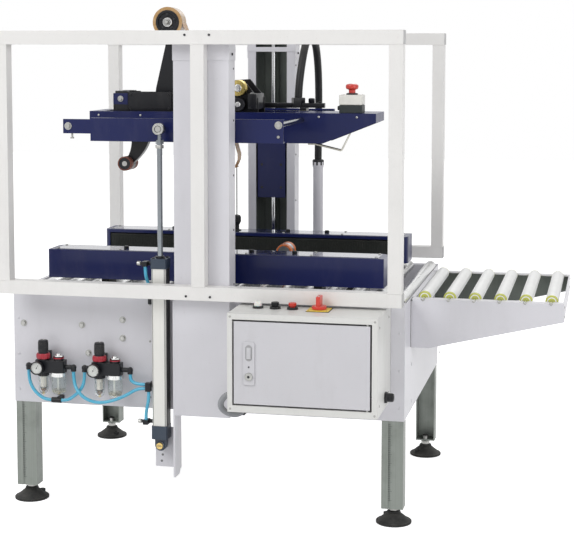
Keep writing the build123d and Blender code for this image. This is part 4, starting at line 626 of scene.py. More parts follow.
fitting_black = plastic("black fittings", (0.010, 0.011, 0.014), 0.36, 0.10)
dress(fitting_black, "hose_fittings")
needles = bmesh.new()
barrel_half, elbow_reach, needle_y = 0.024, 0.027, -0.461
needle = [(0, -0.0005), (0.0056, -0.0005), (0.0056, 0.003), (0.0046, 0.0034), (0.0046, 0.0075),
          (0.0062, 0.0080), (0.0065, 0.0090), (0.0065, 0.0172), (0.0058, 0.0186), (0, 0.0194)]
for z in (0.282, 0.756):
    turned_in(needles, needle, (centre.x - barrel_half - elbow_reach, needle_y, z), (-1, 0, 0), 24)
piece("flow_needles", needles, [zinc], "frame")

# Head: a long box of folded sheet in gloss navy, hung between two arms of folded channel that
# bolt to the carriages and are tied by chromed rods. Clear lacquer gives the navy its depth and
# its bright edges.

navy, navy_edge = (0.0085, 0.0135, 0.080), (0.09, 0.11, 0.25)
navy_paint = paint("navy gloss", navy, navy_edge, 0.30, 0.3, 0.4, 260.0, 0.00010,
                   Specular_IOR_Level=0.22, Coat_Weight=0.12, Coat_Roughness=0.06, Coat_IOR=1.5)
dress(navy_paint, "head_beam", "head_arms", "carriages")
dress(chromed, "cross_rods")
bolts = bmesh.new()
arm_y, washer = -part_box("head_arms")[0].y, 0.0014
beam_y, beam_screw_z, carriage_y = 0.083, 1.176, 0.4212
hanging_nut = [(0, 0), (0.0035, 0), (0.0035, -0.012), (0.0062, -0.0125), (0.0062, -0.017),
               (0, -0.017)]
for side in (-1, 1):
    for x, z in ((-0.420, 1.157), (0.226, 1.166)):
        turned_in(bolts, disc(0.0115, washer), (x, side * arm_y, z), (0, side, 0), 32)
        screw_in(bolts, (x, side * (washer + arm_y), z), (0, side, 0), 0.0078, 0.0058, kind="hex")
    for x, z in ((0.2255, 1.132), (-0.052, 1.130), (0.080, 1.130)):
        screw_in(bolts, (x, side * arm_y, z), (0, side, 0), 0.0042, 0.0032)
    turned_in(bolts, hanging_nut, (-0.412, side * (arm_y - 0.012), 1.136), (0, 0, 1), 6)
for side in (-1, 1):
    for x in (-0.44, -0.30, 0.28, 0.40):
        screw_in(bolts, (x, side * beam_y, beam_screw_z), (0, side, 0), 0.0036, 0.0022, kind="pan")
piece("head_bolts", bolts, [zinc], "head")
bolts = bmesh.new()
for side in (-1, 1):
    for x in (-0.020, 0.048):
        for z in (0.905, 0.985, 1.065, 1.140):
            screw_in(bolts, (x, side * carriage_y, z), (0, -side, 0), 0.0046, 0.0008)
piece("carriage_bolts", bolts, [black_steel], "head")

# Brackets on the head: a bent strip of bare spring steel seated under the outfeed end, and a
# blackened bar screwed across the top, with the hexagon ring that clamps the conduit and a
# small turned post.

spring_steel = metal("spring steel strip", (0.40, 0.385, 0.33), 0.34, (6.0, 500.0, 500.0), 0.5)
bar_black = paint("satin black", (0.0075, 0.008, 0.011), (0.12, 0.12, 0.13), 0.30, 0.3, 0.6,
                  500.0, 0.00015, Specular_IOR_Level=0.30)
dress(spring_steel, "head_brackets")
bar_y, bar_top, ring_x, post_x = 0.095, 1.2127, 0.178, 0.222
cover = bmesh.new()
box_in(cover, (0.0193, 0.0853, 1.1973), (0.2657, 0.1047, bar_top), 0.0015, steps=2)
for x in (0.040, 0.200):
    box_in(cover, (x - 0.0107, 0.0625, 1.1885), (x + 0.0107, 0.1045, 1.1985), 0.001)
turned_in(cover, [(0.0127, 0.0), (0.0228, 0.0), (0.0228, 0.0300), (0.0212, 0.0320),
                  (0.0150, 0.0325), (0.0129, 0.0325), (0.0127, 0.022)],
          (ring_x, bar_y, 1.1975), (0, 0, 1), 6)
for x in (0.030, 0.060, 0.250):
    screw_in(cover, (x, bar_y, bar_top), (0, 0, 1), 0.0052, 0.0045)
turned_in(cover, [(0, 0), (0.0095, 0), (0.0105, 0.002), (0.0105, 0.013), (0.008, 0.0155),
                  (0, 0.016)], (post_x, bar_y, bar_top), (0, 0, 1), 24)
piece("hose_bar_cover", cover, [bar_black], "head")

# Tape head: the cartridge between the head's walls. Black painted cheeks carry a knurled guide
# roller, a gold brass drum, a plain guide roller, the knife guard and their snap ringed shafts.

dress(bar_black, "tape_head")
gold = metal("brass drum", (0.64, 0.50, 0.17), 0.26, (420.0, 6.0, 420.0), 0.3)
turned_steel = metal("turned roller steel", (0.66, 0.66, 0.655), 0.2, (420.0, 420.0, 30.0), 0.3)
drum_x, drum_z, knurled_z, roller_y = 0.002, 1.264, 1.212, -0.0434
cheek_y, wheel_y, groove_pitch, knurl_pitch = 0.048, -0.0500, 0.0054, 0.0041
pivot_x, pivot_z = -0.377, 1.227
drums, shafts, spacers = bmesh.new(), bmesh.new(), bmesh.new()
profile = [(0.006, 0.0), (0.0172, 0.0), (0.0186, 0.0012), (0.0186, 0.0050)]
for ring in range(14):
    y = 0.006 + ring * groove_pitch
    profile += [(0.0178, y), (0.0186, y + 0.0012), (0.0186, y + 0.0040)]
profile += [(0.0186, 0.0850), (0.0172, 0.0868), (0.006, 0.0868)]
turned_in(drums, profile, (drum_x, roller_y, drum_z), (0, 1, 0), 44)
grooved = [(0, 0.0), (0.0240, 0.0), (0.0255, 0.0012), (0.0255, 0.0046)]
for ring in range(4):
    y = ring * 0.0045
    grooved += [(0.0246, 0.0056 + y), (0.0255, 0.0066 + y), (0.0255, 0.0088 + y)]
grooved += [(0.0245, 0.0262), (0.0150, 0.0266), (0.0140, 0.0256), (0, 0.0256)]
drum_wheel, lower_wheel = (0.019, wheel_y, drum_z), (0.018, wheel_y, knurled_z)
turned_in(drums, grooved, drum_wheel, (0, -1, 0), 44)
piece("gold_drum", drums, [gold], "head")
for x, z, radius in ((drum_x, drum_z, 0.0075), (drum_x, knurled_z, 0.0075),
                     (0.060, 1.240, 0.0062), (0.060, 1.118, 0.0062), (-0.390, 1.118, 0.0062),
                     (pivot_x, pivot_z, 0.0072)):
    snap_ring = [(0, 0), (radius * 1.7, 0), (radius * 1.7, 0.0012), (radius, 0.0014),
                 (radius, 0.004), (radius * 0.85, 0.005), (0, 0.005)]
    for side in (-1, 1):
        turned_in(shafts, snap_ring, (x, side * cheek_y, z), (0, side, 0), 28)
knurl = [(0.006, 0.0), (0.0178, 0.0), (0.0196, 0.0016)]
for ring in range(20):
    y = 0.003 + ring * knurl_pitch
    knurl += [(0.0186, y), (0.0196, y + 0.0010), (0.0196, y + 0.0026)]
knurl += [(0.0178, 0.0868), (0.006, 0.0868)]
turned_in(shafts, knurl, (drum_x, roller_y, knurled_z), (0, 1, 0), 44)
turned_in(shafts, [(0.0, 0.0), (0.0205, 0.0), (0.0218, 0.0014), (0.0218, 0.0210),
                   (0.0205, 0.0224), (0.0165, 0.0224), (0.0160, 0.0200), (0.0085, 0.0200)],
          lower_wheel, (0, -1, 0), 44, 1)
turned_in(shafts, [(0, 0.0195), (0.0085, 0.0195), (0.0085, 0.0245), (0.0070, 0.0256),
                   (0, 0.0256)], lower_wheel, (0, -1, 0), 44)
turned_in(shafts, [(0, 0.0250), (0.0122, 0.0250), (0.0122, 0.0285), (0.0108, 0.0297),
                   (0.0060, 0.0300), (0.0056, 0.0285), (0, 0.0285)], drum_wheel, (0, -1, 0), 36)
for x, z, radius in ((-0.140, 1.222, 0.011), (-0.100, 1.158, 0.013), (-0.046, 1.180, 0.009)):
    plain = [(0, 0), (radius * 0.9, 0), (radius, 0.001), (radius, 0.0866), (radius * 0.9, 0.0876),
             (0, 0.0876)]
    turned_in(shafts, plain, (x, -0.0438, z), (0, 1, 0), 36)
piece("tape_rollers", shafts, [turned_steel, black_steel], "head")
for side in (-1, 1):
    for x in (-0.392, -0.030):
        box_in(spacers, (x, side * cheek_y - 0.0015, 1.190),
               (x + 0.052, side * cheek_y + 0.0015, 1.250), 0.001)
    box_in(spacers, (-0.395, side * 0.0220, 1.2445), (-0.355, side * 0.0500, 1.2525),
           0.0015, steps=2)
box_in(spacers, (0.048, -0.0640, 1.196), (0.076, 0.0440, 1.246), 0.003, steps=2)
box_in(spacers, (-0.120, -0.0440, 1.112), (-0.036, 0.0440, 1.126), 0.002, steps=2)
piece("tape_head_guards", spacers, [bar_black], "head")
plate, plate_y = bmesh.new(), -0.0525
box_in(plate, (-0.352, plate_y, 1.186), (-0.205, -0.0478, 1.2505), 0.004, steps=3)
for x in (-0.342, -0.215):
    for z in (1.196, 1.241):
        screw_in(plate, (x, plate_y, z), (0, -1, 0), 0.0036, 0.0024)
piece("tape_head_cover", plate, [bar_black], "head")

# Tape roll: brown packing tape wound on a paper core, held on a black hub with a turned steel
# centre. The wound edge shows its layers, and the face is glossy and amber.

wound, given, back = effect(
    "wound tape", [("Tape", "colour", (0.6, 0.4, 0.2, 1)), ("Layer", "value", 3000.0)], surface)
where = node(wound, "TexCoord").outputs["Object"]
roll = (-0.226, 0.0, 1.472)
from_centre = node(wound, "VectorMath", {"operation": "SUBTRACT"}, i0=where, i1=roll).outputs[0]
across = node(wound, "VectorMath", {"operation": "MULTIPLY"}, i0=from_centre,
              i1=(1.0, 0.0, 1.0)).outputs[0]
far = node(wound, "VectorMath", {"operation": "LENGTH"}, i0=across).outputs["Value"]
layers = node(wound, "TexNoise", {"noise_dimensions": "1D"},
              W=math_of(wound, "MULTIPLY", far, given["Layer"]),
              Detail=3.0).outputs[0]
cloud = noise_of(wound, where, 45.0, 4.0)
shade = blend_of(wound, spread_of(wound, layers, 0.3, 0.7, 0.0, 0.55), given["Tape"],
                 (0.22, 0.11, 0.03, 1))
shade = blend_of(wound, spread_of(wound, cloud, 0.45, 0.7, 0.0, 0.3), shade,
                 (0.86, 0.68, 0.42, 1))
wound.links.new(shade, back["Colour"])
wound.links.new(spread_of(wound, cloud, 0.2, 0.8, 0.16, 0.34), back["Roughness"])
wound.links.new(layers, back["Height"])
amber = finish("amber tape", wound, dict(Tape=(0.52, 0.30, 0.105, 1), Layer=2600.0),
               depth=0.0002, rounding=0.0006, Coat_Weight=0.5, Coat_Roughness=0.1)
dress(amber, "tape_roll")
hub, centre_parts, roll_at = bmesh.new(), bmesh.new(), Vector(roll)
hub_face = [(0.0158, 0.0180), (0.0165, 0.0225), (0.0300, 0.0225), (0.0310, 0.0262),
            (0.0378, 0.0262), (0.0390, 0.0244), (0.0382, 0.0238), (0.0330, 0.0200),
            (0.0325, 0.0120), (0.0158, 0.0100)]
hub_centre = [(0.0072, 0.0238), (0.0152, 0.0238), (0.0156, 0.0262), (0.0142, 0.0278),
              (0.0120, 0.0276), (0.0112, 0.0262), (0.0072, 0.0262)]
rivet = [(0, 0), (0.0055, 0), (0.0055, 0.0022), (0.0040, 0.0030), (0, 0.0030)]
for side in (-1, 1):
    turned_in(hub, hub_face, roll_at, (0, side, 0), 48)
    turned_in(centre_parts, hub_centre, roll_at, (0, side, 0), 40)
    for x, z in circle(0.0235, 5, 0.3):
        turned_in(hub, rivet, roll_at + Vector((x, side * 0.0222, z)), (0, side, 0), 20)
piece("tape_hub", hub, [fitting_black], "tape_roll")
piece("tape_hub_centre", centre_parts, [turned_steel], "tape_roll")
nut = bmesh.new()
turned_in(nut, [(0, 0), (0.0066, 0), (0.0066, 0.0060), (0.0054, 0.0074), (0, 0.0074)],
          roll_at + Vector((0, -0.0295, 0)), (0, -1, 0), 6)
turned_in(nut, disc(0.0098, 0.0010), roll_at + Vector((0, -0.0286, 0)), (0, -1, 0), 30)
piece("spindle_nut", nut, [zinc], "head")

# The tape itself leaves the roll, runs down behind the cheek, round the gold drum and the
# knurled roller, and a short tail hangs from the outfeed side, gum side out.

tape_web = plastic("tape web", (0.46, 0.23, 0.055), 0.26, 0.05, 300.0, 0.00003,
                   Transmission_Weight=0.1, Coat_Weight=0.2, Coat_Roughness=0.15)


def web_in(mesh, path, half):
    rows, half_thick = [], 0.00016
    for at, (x, z) in enumerate(path):
        ahead = path[min(at + 1, len(path) - 1)]
        behind = path[max(at - 1, 0)]
        slope = Vector((ahead[0] - behind[0], ahead[1] - behind[1])).normalized() * half_thick
        rows.append([mesh.verts.new((x + slope.y * way, y, z - slope.x * way))
                     for way, y in ((1, -half), (1, half), (-1, half), (-1, -half))])
    for low, high in zip(rows, rows[1:]):
        for k in range(4):
            mesh.faces.new((low[k], low[(k + 1) % 4], high[(k + 1) % 4], high[k]))
    mesh.faces.new(rows[0])
    mesh.faces.new(rows[-1][::-1])


def arc_of(cx, cz, radius, start, end, steps=14):
    turns = [math.radians(start + (end - start) * k / steps) for k in range(steps + 1)]
    return [(cx + radius * math.cos(turn), cz + radius * math.sin(turn)) for turn in turns]


web, half_width = bmesh.new(), 0.024
down = [(-0.1768, 1.470), (-0.150, 1.400), (-0.120, 1.330), (-0.085, 1.2925)]
down += arc_of(drum_x, drum_z, 0.0190, 118, -48) + arc_of(drum_x, knurled_z, 0.0200, 62, -62)
down += [(-0.030, 1.186), (-0.1300, 1.2085)]
web_in(web, down, half_width)
piece("tape_run", web, [tape_web], "head")
tail = bmesh.new()
web_in(tail, [(-0.0060, 1.105), (-0.0055, 1.090), (-0.0010, 1.072), (0.0050, 1.052),
              (0.0045, 1.034), (-0.0015, 1.020), (-0.0060, 1.012), (-0.0030, 1.008)], half_width)
piece("tape_tail", tail, [tape_web], "head")

# Tape holder: the tall black arm of flat steel behind the roll. Two screws with nuts hold it
# to the tape head, and a nut holds the roll's spindle at its top.

dress(bar_black, "tape_holder")
bolts, holder_y = bmesh.new(), 0.0440
for x, z in ((-0.266, 1.216), (-0.244, 1.232)):
    screw_in(bolts, (x, 0.0360, z), (0, -1, 0), 0.0046, 0.0028)
    screw_in(bolts, (x, holder_y, z), (0, 1, 0), 0.0058, 0.0040, kind="hex")
turned_in(bolts, disc(0.0105, 0.0012), (roll[0], holder_y, roll[2]), (0, 1, 0), 30)
screw_in(bolts, (roll[0], 0.0452, roll[2]), (0, 1, 0), 0.0075, 0.0055, kind="hex")
piece("holder_bolts", bolts, [zinc], "head")

# Tape arm: a curved black plate that hangs from its pivot and wipes the tape on with a rust
# brown rubber roller. A navy cheek with a clamp bolt sits at the pivot.

dress(bar_black, "tape_arm")
brown_rubber = plastic("brown wiping rubber", (0.20, 0.055, 0.030), 0.6, 0.5, 900.0)
tyre, caps, cheek = bmesh.new(), bmesh.new(), bmesh.new()
wiping_at, pivot_at, clamp_y = (-0.370, 0, 1.016), (pivot_x, 0, pivot_z), 0.0490
for side in (-1, 1):
    turned_in(tyre, [(0.0070, 0.0125), (0.0222, 0.0125), (0.0233, 0.0137), (0.0233, 0.0366),
                     (0.0222, 0.0373), (0.0195, 0.0373), (0.0195, 0.0355), (0.0070, 0.0355)],
              wiping_at, (0, side, 0), 48)
    turned_in(caps, [(0, 0.0356), (0.0192, 0.0356), (0.0192, 0.0362), (0.0085, 0.0366),
                     (0.0085, 0.0371), (0, 0.0371)], wiping_at, (0, side, 0), 40)
    turned_in(caps, disc(0.0130, 0.0200, 0.0181), pivot_at, (0, side, 0), 36)
    screw_in(cheek, (pivot_x, side * 0.0500, pivot_z), (0, side, 0), 0.0072, 0.0050, kind="hex")
    box_in(cheek, (-0.402, side * clamp_y - 0.0010, 1.2085),
           (-0.350, side * clamp_y + 0.0010, 1.2450), 0.0008, 1)
piece("wiping_tyre", tyre, [brown_rubber], "tape_arm")
piece("arm_washers", caps, [zinc], "tape_arm")
piece("pivot_bolts", cheek, [zinc, navy_paint], "head")

# Emergency stop: a moulded box whose upper half is warm white and whose lower half is dark
# grey, closed by four corner screws. It carries a dark grey collar and cable gland, and a red
# mushroom head with a raised rim and three grip ribs.

box_white = plastic("warm white housing", (0.80, 0.79, 0.74), 0.4, 0.2)
box_grey = plastic("dark grey housing", (0.030, 0.036, 0.038), 0.45, 0.15)
stop_red = plastic("signal red", (0.62, 0.035, 0.020), 0.3, 0.15, Coat_Weight=0.3,
                   Coat_Roughness=0.15)
low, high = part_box("estop_box")
middle_x, middle_y = (low.x + high.x) / 2, (low.y + high.y) / 2
box_top, rib_z, rib_at = 1.2450, 1.2776, 0.0105
shell = bmesh.new()
box_in(shell, low, (high.x, high.y, 1.2135), 0.0030, 1, 3)
box_in(shell, (low.x, low.y, 1.2140), (high.x, high.y, box_top), 0.0030, 0, 3)
turned_in(shell, [(0.0125, 0.0), (0.0185, 0.0), (0.0185, 0.0035), (0.0160, 0.0052),
                  (0.0125, 0.0055)], (middle_x, middle_y, 1.2448), (0, 0, 1), 48, 1)
for x in (low.x + 0.007, high.x - 0.007):
    for y in (low.y + 0.007, high.y - 0.007):
        screw_in(shell, (x, y, box_top), (0, 0, 1), 0.0030, 0.0008, 2, "pan")
turned_in(shell, [(0, 0), (0.0095, 0), (0.0095, 0.003), (0.0075, 0.0035), (0.0075, 0.009),
                  (0, 0.009)], (low.x, middle_y, 1.203), (-1, 0, 0), 6, 1)
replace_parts(piece("estop_shell", shell, [box_white, box_grey, zinc], "head"), "estop_box")
cap = bmesh.new()
turned_in(cap, [(0, 0.0054), (0.0105, 0.0054), (0.0105, 0.0150), (0.0172, 0.0175),
                (0.0197, 0.0205), (0.0200, 0.0270), (0.0192, 0.0300), (0.0165, 0.0325),
                (0.0120, 0.0334), (0.0060, 0.0337), (0, 0.0338)],
          (middle_x, middle_y, box_top), (0, 0, 1), 56)
for dx, dy in circle(rib_at, 3):
    at = Vector((middle_x + dx, middle_y + dy, rib_z))
    box_in(cap, at - Vector((0.0030, 0.0012, 0.0012)), at + Vector((0.0030, 0.0012, 0.0013)),
           0.0004)
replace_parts(piece("estop_mushroom", cap, [stop_red], "estop_button"), "estop_button")

# Side belts: loops of dark moulded rubber on edge round two pulleys, with close upright ribs
# all the way round. Each hangs under its navy housing of folded sheet, whose lacquered lid is
# held by two rows of screws.


def turned_cube(mesh, at, out, track, size, slot=0):
    place = Matrix.Translation(at) @ out.to_track_quat(*track).to_matrix().to_4x4()
    cube_in(mesh, place @ Matrix.Diagonal((*size, 1)), slot)


def on_loop(run, left, right, centre, radius):
    straight, arc = right - left, math.pi * radius
    if run < straight:
        return (left + run, centre - radius), (0, -1)
    if run < straight + arc:
        turn, middle = (run - straight) / radius - math.pi / 2, right
    elif run < 2 * straight + arc:
        return (right - (run - straight - arc), centre + radius), (0, 1)
    else:
        turn, middle = (run - 2 * straight - arc) / radius + math.pi / 2, left
    out = (math.cos(turn), math.sin(turn))
    return (middle + out[0] * radius, centre + out[1] * radius), out


rubber = plastic("ribbed belt rubber", (0.010, 0.012, 0.0105), 0.62, 0.22, 1500.0, 0.0002)
dress(rubber, "front_belt", "rear_belt")
belt_face, belt_z, rib_count, rib_size = 0.198, 0.725, 250, (0.0058, 0.0020, 0.0590)
for side, name in ((-1, "front_belt"), (1, "rear_belt")):
    low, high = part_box(name)
    ribs = bmesh.new()
    radius = (high.y - low.y) / 2
    left, right = low.x + radius, high.x - radius
    around = 2 * (right - left) + 2 * math.pi * radius
    for k in range(rib_count):
        at, out = on_loop(around * k / rib_count, left, right, side * (belt_face + radius), radius)
        turned_cube(ribs, Vector((*at, belt_z)), Vector((*out, 0)), "YZ", rib_size)
    piece(name + "_ribs", ribs, [rubber], name)
pulley_black = plastic("carriage casting", (0.022, 0.024, 0.024), 0.5, 0.2)
lid_lacquer = paint("lacquered lid", navy, navy_edge, 0.30, 0.3, 0.4, 260.0, 0.00010,
                    Specular_IOR_Level=0.5, Coat_Weight=1.0, Coat_Roughness=0.03, Coat_IOR=1.75)
dress(pulley_black, "front_belt_carriage", "rear_belt_carriage")
dress(navy_paint, "front_belt_housing", "rear_belt_housing")
lid_near, lid_far, housing_y, lid_top = 0.215, 0.307, 0.261, 0.7712
lid_post = [(0, 0), (0.0075, 0), (0.0080, 0.001), (0.0080, 0.006), (0.0062, 0.008), (0, 0.0082)]
for side, name in ((-1, "front"), (1, "rear")):
    low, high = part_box(name + "_belt_housing")
    lids = bmesh.new()
    box_in(lids, (low.x + 0.018, side * lid_near, 0.7698),
           (high.x - 0.018, side * lid_far, lid_top), 0.0005)
    for x in (-0.500, -0.300, -0.100, 0.100, 0.300, 0.496):
        for y in (side * 0.296, side * 0.226):
            screw_in(lids, (x, y, lid_top), (0, 0, 1), 0.0040, 0.0026, 1)
    for x in (-0.291, 0.108, 0.242):
        turned_in(lids, lid_post, (x, side * housing_y, lid_top), (0, 0, 1), 24, 2)
    piece(name + "_housing_lid", lids, [lid_lacquer, zinc, fitting_black], name + "_belt")

# Width lock: a ribbed knob of black plastic screwed into the rear housing, which clamps the
# belts at the carton's width, with a thin upright feeler of blackened wire in its top.


def ribs_round(mesh, profile, centre, radius, count, steps=6):
    for dx, dy in circle(radius, count):
        turned_in(mesh, profile, (centre[0] + dx, centre[1] + dy, centre[2]), steps=steps)


knob = bmesh.new()
knob_x, knob_foot, knob_ribs, feeler_foot = -0.070, 0.7705, 0.8015, 0.8240
turned_in(knob, [(0, 0), (0.0150, 0), (0.0150, 0.003), (0.0080, 0.004), (0.0080, 0.020),
                 (0.0110, 0.024), (0.0130, 0.030), (0.0130, 0.047), (0.0115, 0.052),
                 (0.0060, 0.054), (0, 0.054)], (knob_x, housing_y, knob_foot))
ribs_round(knob, disc(0.0018, 0.016), (knob_x, housing_y, knob_ribs), 0.0127, 12, 8)
turned_in(knob, [(0, 0), (0.0024, 0), (0.0019, 0.004), (0.0019, 0.164), (0, 0.165)],
          (knob_x, housing_y, feeler_foot), (0, 0, 1), 12, 1)
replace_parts(piece("width_knob", knob, [fitting_black, black_steel], "rear_belt"), "lock_knob")

# Lower tape head: the cartridge under the bed that closes the carton's bottom. Its zinc coated
# cheeks are bolted to two cross bars, and its buffing arm swings up between the rollers with an
# orange rubber roller.

cheek_steel = metal("lower cheek steel", (0.40, 0.41, 0.43), 0.36, (8.0, 300.0, 300.0), 0.6)
dress(cheek_steel, "lower_tape_head", "lower_tape_arm")
orange_rubber = plastic("orange roller", (0.70, 0.16, 0.020), 0.45, 0.3, 900.0)
tyre, screws, buffing_at = bmesh.new(), bmesh.new(), (0.158, 0, 0.742)
for side in (-1, 1):
    turned_in(tyre, [(0.0070, 0.0125), (0.0244, 0.0125), (0.0254, 0.0138), (0.0254, 0.0330),
                     (0.0240, 0.0343), (0.0200, 0.0343), (0.0200, 0.0330), (0.0070, 0.0330)],
              buffing_at, (0, side, 0), 48)
    turned_in(screws, [(0, 0.0331), (0.0195, 0.0331), (0.0195, 0.0336), (0.0070, 0.0342),
                       (0, 0.0343)], buffing_at, (0, side, 0), 36)
piece("buffing_tyre", tyre, [orange_rubber], "lower_tape_arm")
piece("buffing_washers", screws, [zinc], "lower_tape_arm")
bolts = bmesh.new()
for side in (-1, 1):
    for x, z in ((0.060, 0.640), (-0.040, 0.610), (-0.120, 0.640), (0.190, 0.600), (-0.190, 0.600)):
        screw_in(bolts, (x, side * cheek_y, z), (0, side, 0), 0.0062, 0.0050, kind="hex")
piece("lower_head_bolts", bolts, [zinc], "frame")

# Electrical cabinet: a folded steel box in warm light grey, screwed to the skirt, its door a
# shade darker and set in a deep frame, with a swing lock, hinge knuckles and a gasket behind the
# door's edge.

cabinet_paint = paint("warm light grey paint", (0.70, 0.70, 0.68), (0.80, 0.80, 0.78), 0.38,
                      0.6, 0.4)
door_paint = paint("door grey paint", (0.600, 0.595, 0.625), (0.76, 0.76, 0.77), 0.4, 0.8, 0.4)
dress(cabinet_paint, "cabinet")
dress(door_paint, "cabinet_door")
low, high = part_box("cabinet")
front = low.y
gasket, seams = bmesh.new(), bmesh.new()
for left, bottom, right, top in (
        (0.1560, 0.4020, 0.5360, 0.4070), (0.1560, 0.6260, 0.5360, 0.6310),
        (0.1560, 0.4020, 0.1610, 0.6310), (0.5310, 0.4020, 0.5360, 0.6310)):
    box_in(gasket, (left, front + 0.0081, bottom), (right, front + 0.0125, top), 0.0008)
piece("door_gasket", gasket, [fitting_black], "door")
for x in (low.x + 0.008, high.x - 0.008):
    for z in (low.z + 0.009, high.z - 0.009):
        screw_in(seams, (x, front, z), (0, -1, 0), 0.0034, 0.0012, 0, "pan")
for y in (front + 0.030, -0.460):
    for z in (low.z + 0.030, high.z - 0.030):
        screw_in(seams, (high.x, y, z), (1, 0, 0), 0.0040, 0.0016, 0, "pan")
        screw_in(seams, (low.x, y, z), (-1, 0, 0), 0.0040, 0.0016, 0, "pan")
piece("cabinet_screws", seams, [zinc], "frame")
seams = bmesh.new()
box_in(seams, (low.x - 0.0006, -0.4235, low.z + 0.001), (high.x + 0.0006, -0.4205, high.z - 0.001),
       0.0004)
piece("cabinet_seam", seams, [plug_grey], "frame")
lock_shade = plastic("lock slot", (0.36, 0.36, 0.37), 0.5, 0.1)
lock_grey = plastic("lock plate grey", (0.56, 0.56, 0.58), 0.4, 0.1)
lock, rim = bmesh.new(), bmesh.new()
face, lock_x, slot_radius = front - 0.0040, 0.1980, 0.0095
slot_top, slot_bottom, key_z, stop_z = 0.5590, 0.5320, 0.4790, 0.5060
outline = arc_of(lock_x, slot_top, slot_radius, 0, 180, 12)
outline += arc_of(lock_x, slot_bottom, slot_radius, 180, 360, 12)
rim.faces.new([rim.verts.new((x, face - 0.0004, z)) for x, z in outline])
piece("lock_slot", rim, [lock_shade], "door")
box_in(lock, (0.1915, face - 0.0030, 0.5290), (0.2045, face - 0.0004, 0.5620), 0.0016, 0, 3)
turned_in(lock, [(0, 0), (0.0112, 0), (0.0112, 0.0030), (0.0100, 0.0044), (0.0060, 0.0048),
                 (0, 0.0048)], (lock_x, face, key_z), (0, -1, 0), 40, 1)
turned_in(lock, disc(0.0036, 0.0006), (lock_x, face - 0.0048, key_z), (0, -1, 0), 24, 2)
turned_in(lock, disc(0.0024, 0.0006), (lock_x, face, stop_z), (0, -1, 0), 20, 2)
piece("lock_handle", lock, [lock_grey, zinc, fitting_black], "door")
hinges, knuckle_half = bmesh.new(), 0.003
for z in (0.3960, 0.6340):
    turned_in(hinges, disc(0.0034, knuckle_half, -knuckle_half), (0.530, front + 0.005, z),
              (0, 0, 1), 20)
piece("hinge_knuckles", hinges, [zinc], "frame")

# Controls on the cabinet's top: a white lamp, a black and a red push button in ridged black
# collars, and the isolator's red knob on its yellow plate. All are moulded plastic, clamped
# through holes in the lid. A cable gland is screwed into the cabinet's side.

top, collar_step = 0.655, 0.0016
lamp_x, black_x, red_x, isolator_x = 0.200, 0.250, 0.300, 0.377
collars, lens, plate_mesh = bmesh.new(), bmesh.new(), bmesh.new()
controls_y = front + 0.100
for x in (lamp_x, black_x, red_x):
    ring = [(0.0118, 0.0), (0.0158, 0.0)]
    for turn in range(3):
        ring += [(0.0158, 0.0008 + turn * collar_step), (0.0152, 0.0014 + turn * collar_step)]
    ring += [(0.0150, 0.0060), (0.0138, 0.0068), (0.0118, 0.0066)]
    turned_in(collars, ring, (x, controls_y, top), (0, 0, 1), 44)
turned_in(lens, [(0, 0.0040), (0.0112, 0.0040), (0.0112, 0.0150), (0.0100, 0.0180),
                 (0.0072, 0.0198), (0, 0.0202)], (lamp_x, controls_y, top), (0, 0, 1), 40)
lamp_white = plastic("lamp lens", (0.82, 0.82, 0.78), 0.18, 0.1, Coat_Weight=0.4,
                     Coat_Roughness=0.05, Subsurface_Weight=0.2, Subsurface_Scale=0.004)
half, plate_top, screw_at = 0.033, top + 0.0031, 0.026
box_in(plate_mesh, (isolator_x - half, controls_y - half, top),
       (isolator_x + half, controls_y + half, top + 0.0012), 0.0005, 1, 2)
box_in(plate_mesh, (isolator_x - half + 0.002, controls_y - half + 0.002, top + 0.0010),
       (isolator_x + half - 0.002, controls_y + half - 0.002, plate_top), 0.0008, 0, 2)
for dx in (-screw_at, screw_at):
    for dy in (-screw_at, screw_at):
        screw_in(plate_mesh, (isolator_x + dx, controls_y + dy, plate_top), (0, 0, 1), 0.0026,
                 0.0006, 1, "pan")
yellow = plastic("isolator yellow", (0.80, 0.56, 0.04), 0.42, 0.25)
gland, gland_at, gland_step = bmesh.new(), (0.559, front + 0.137, 0.407), 0.0024
turned_in(gland, [(0, 0), (0.0168, 0), (0.0168, 0.0060), (0.0150, 0.0078), (0, 0.0078)],
          gland_at, (1, 0, 0), 6)
profile = [(0.0070, 0.0070), (0.0122, 0.0070)]
for turn in range(5):
    profile += [(0.0128, 0.0080 + turn * gland_step), (0.0122, 0.0090 + turn * gland_step)]
profile += [(0.0124, 0.0205), (0.0112, 0.0245), (0.0090, 0.0260), (0.0060, 0.0260),
            (0.0060, 0.0070)]
turned_in(gland, profile, gland_at, (1, 0, 0), 32)
turned_in(gland, disc(0.0058, 0.0225, 0.020), gland_at, (1, 0, 0), 24)
for name, mesh, finishes in (
        ("control_collars", collars, [fitting_black]), ("pilot_lamp", lens, [lamp_white]),
        ("isolator_plate", plate_mesh, [yellow, fitting_black]),
        ("cable_gland_nut", gland, [fitting_black])):
    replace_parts(piece(name, mesh, finishes, "frame"), "cabinet_fittings")
push_cap = [(0, 0.0040), (0.0070, 0.0040), (0.0070, 0.0092), (0.0108, 0.0096), (0.0112, 0.0110),
            (0.0112, 0.0178), (0.0102, 0.0190), (0.0078, 0.0192), (0.0060, 0.0186), (0, 0.0183)]
for name, x, colour in (("black_button", black_x, fitting_black), ("red_button", red_x, stop_red)):
    button = bmesh.new()
    turned_in(button, push_cap, (x, controls_y, top), (0, 0, 1), 40)
    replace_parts(piece(name + "_cap", button, [colour], name), name)
grip = bmesh.new()
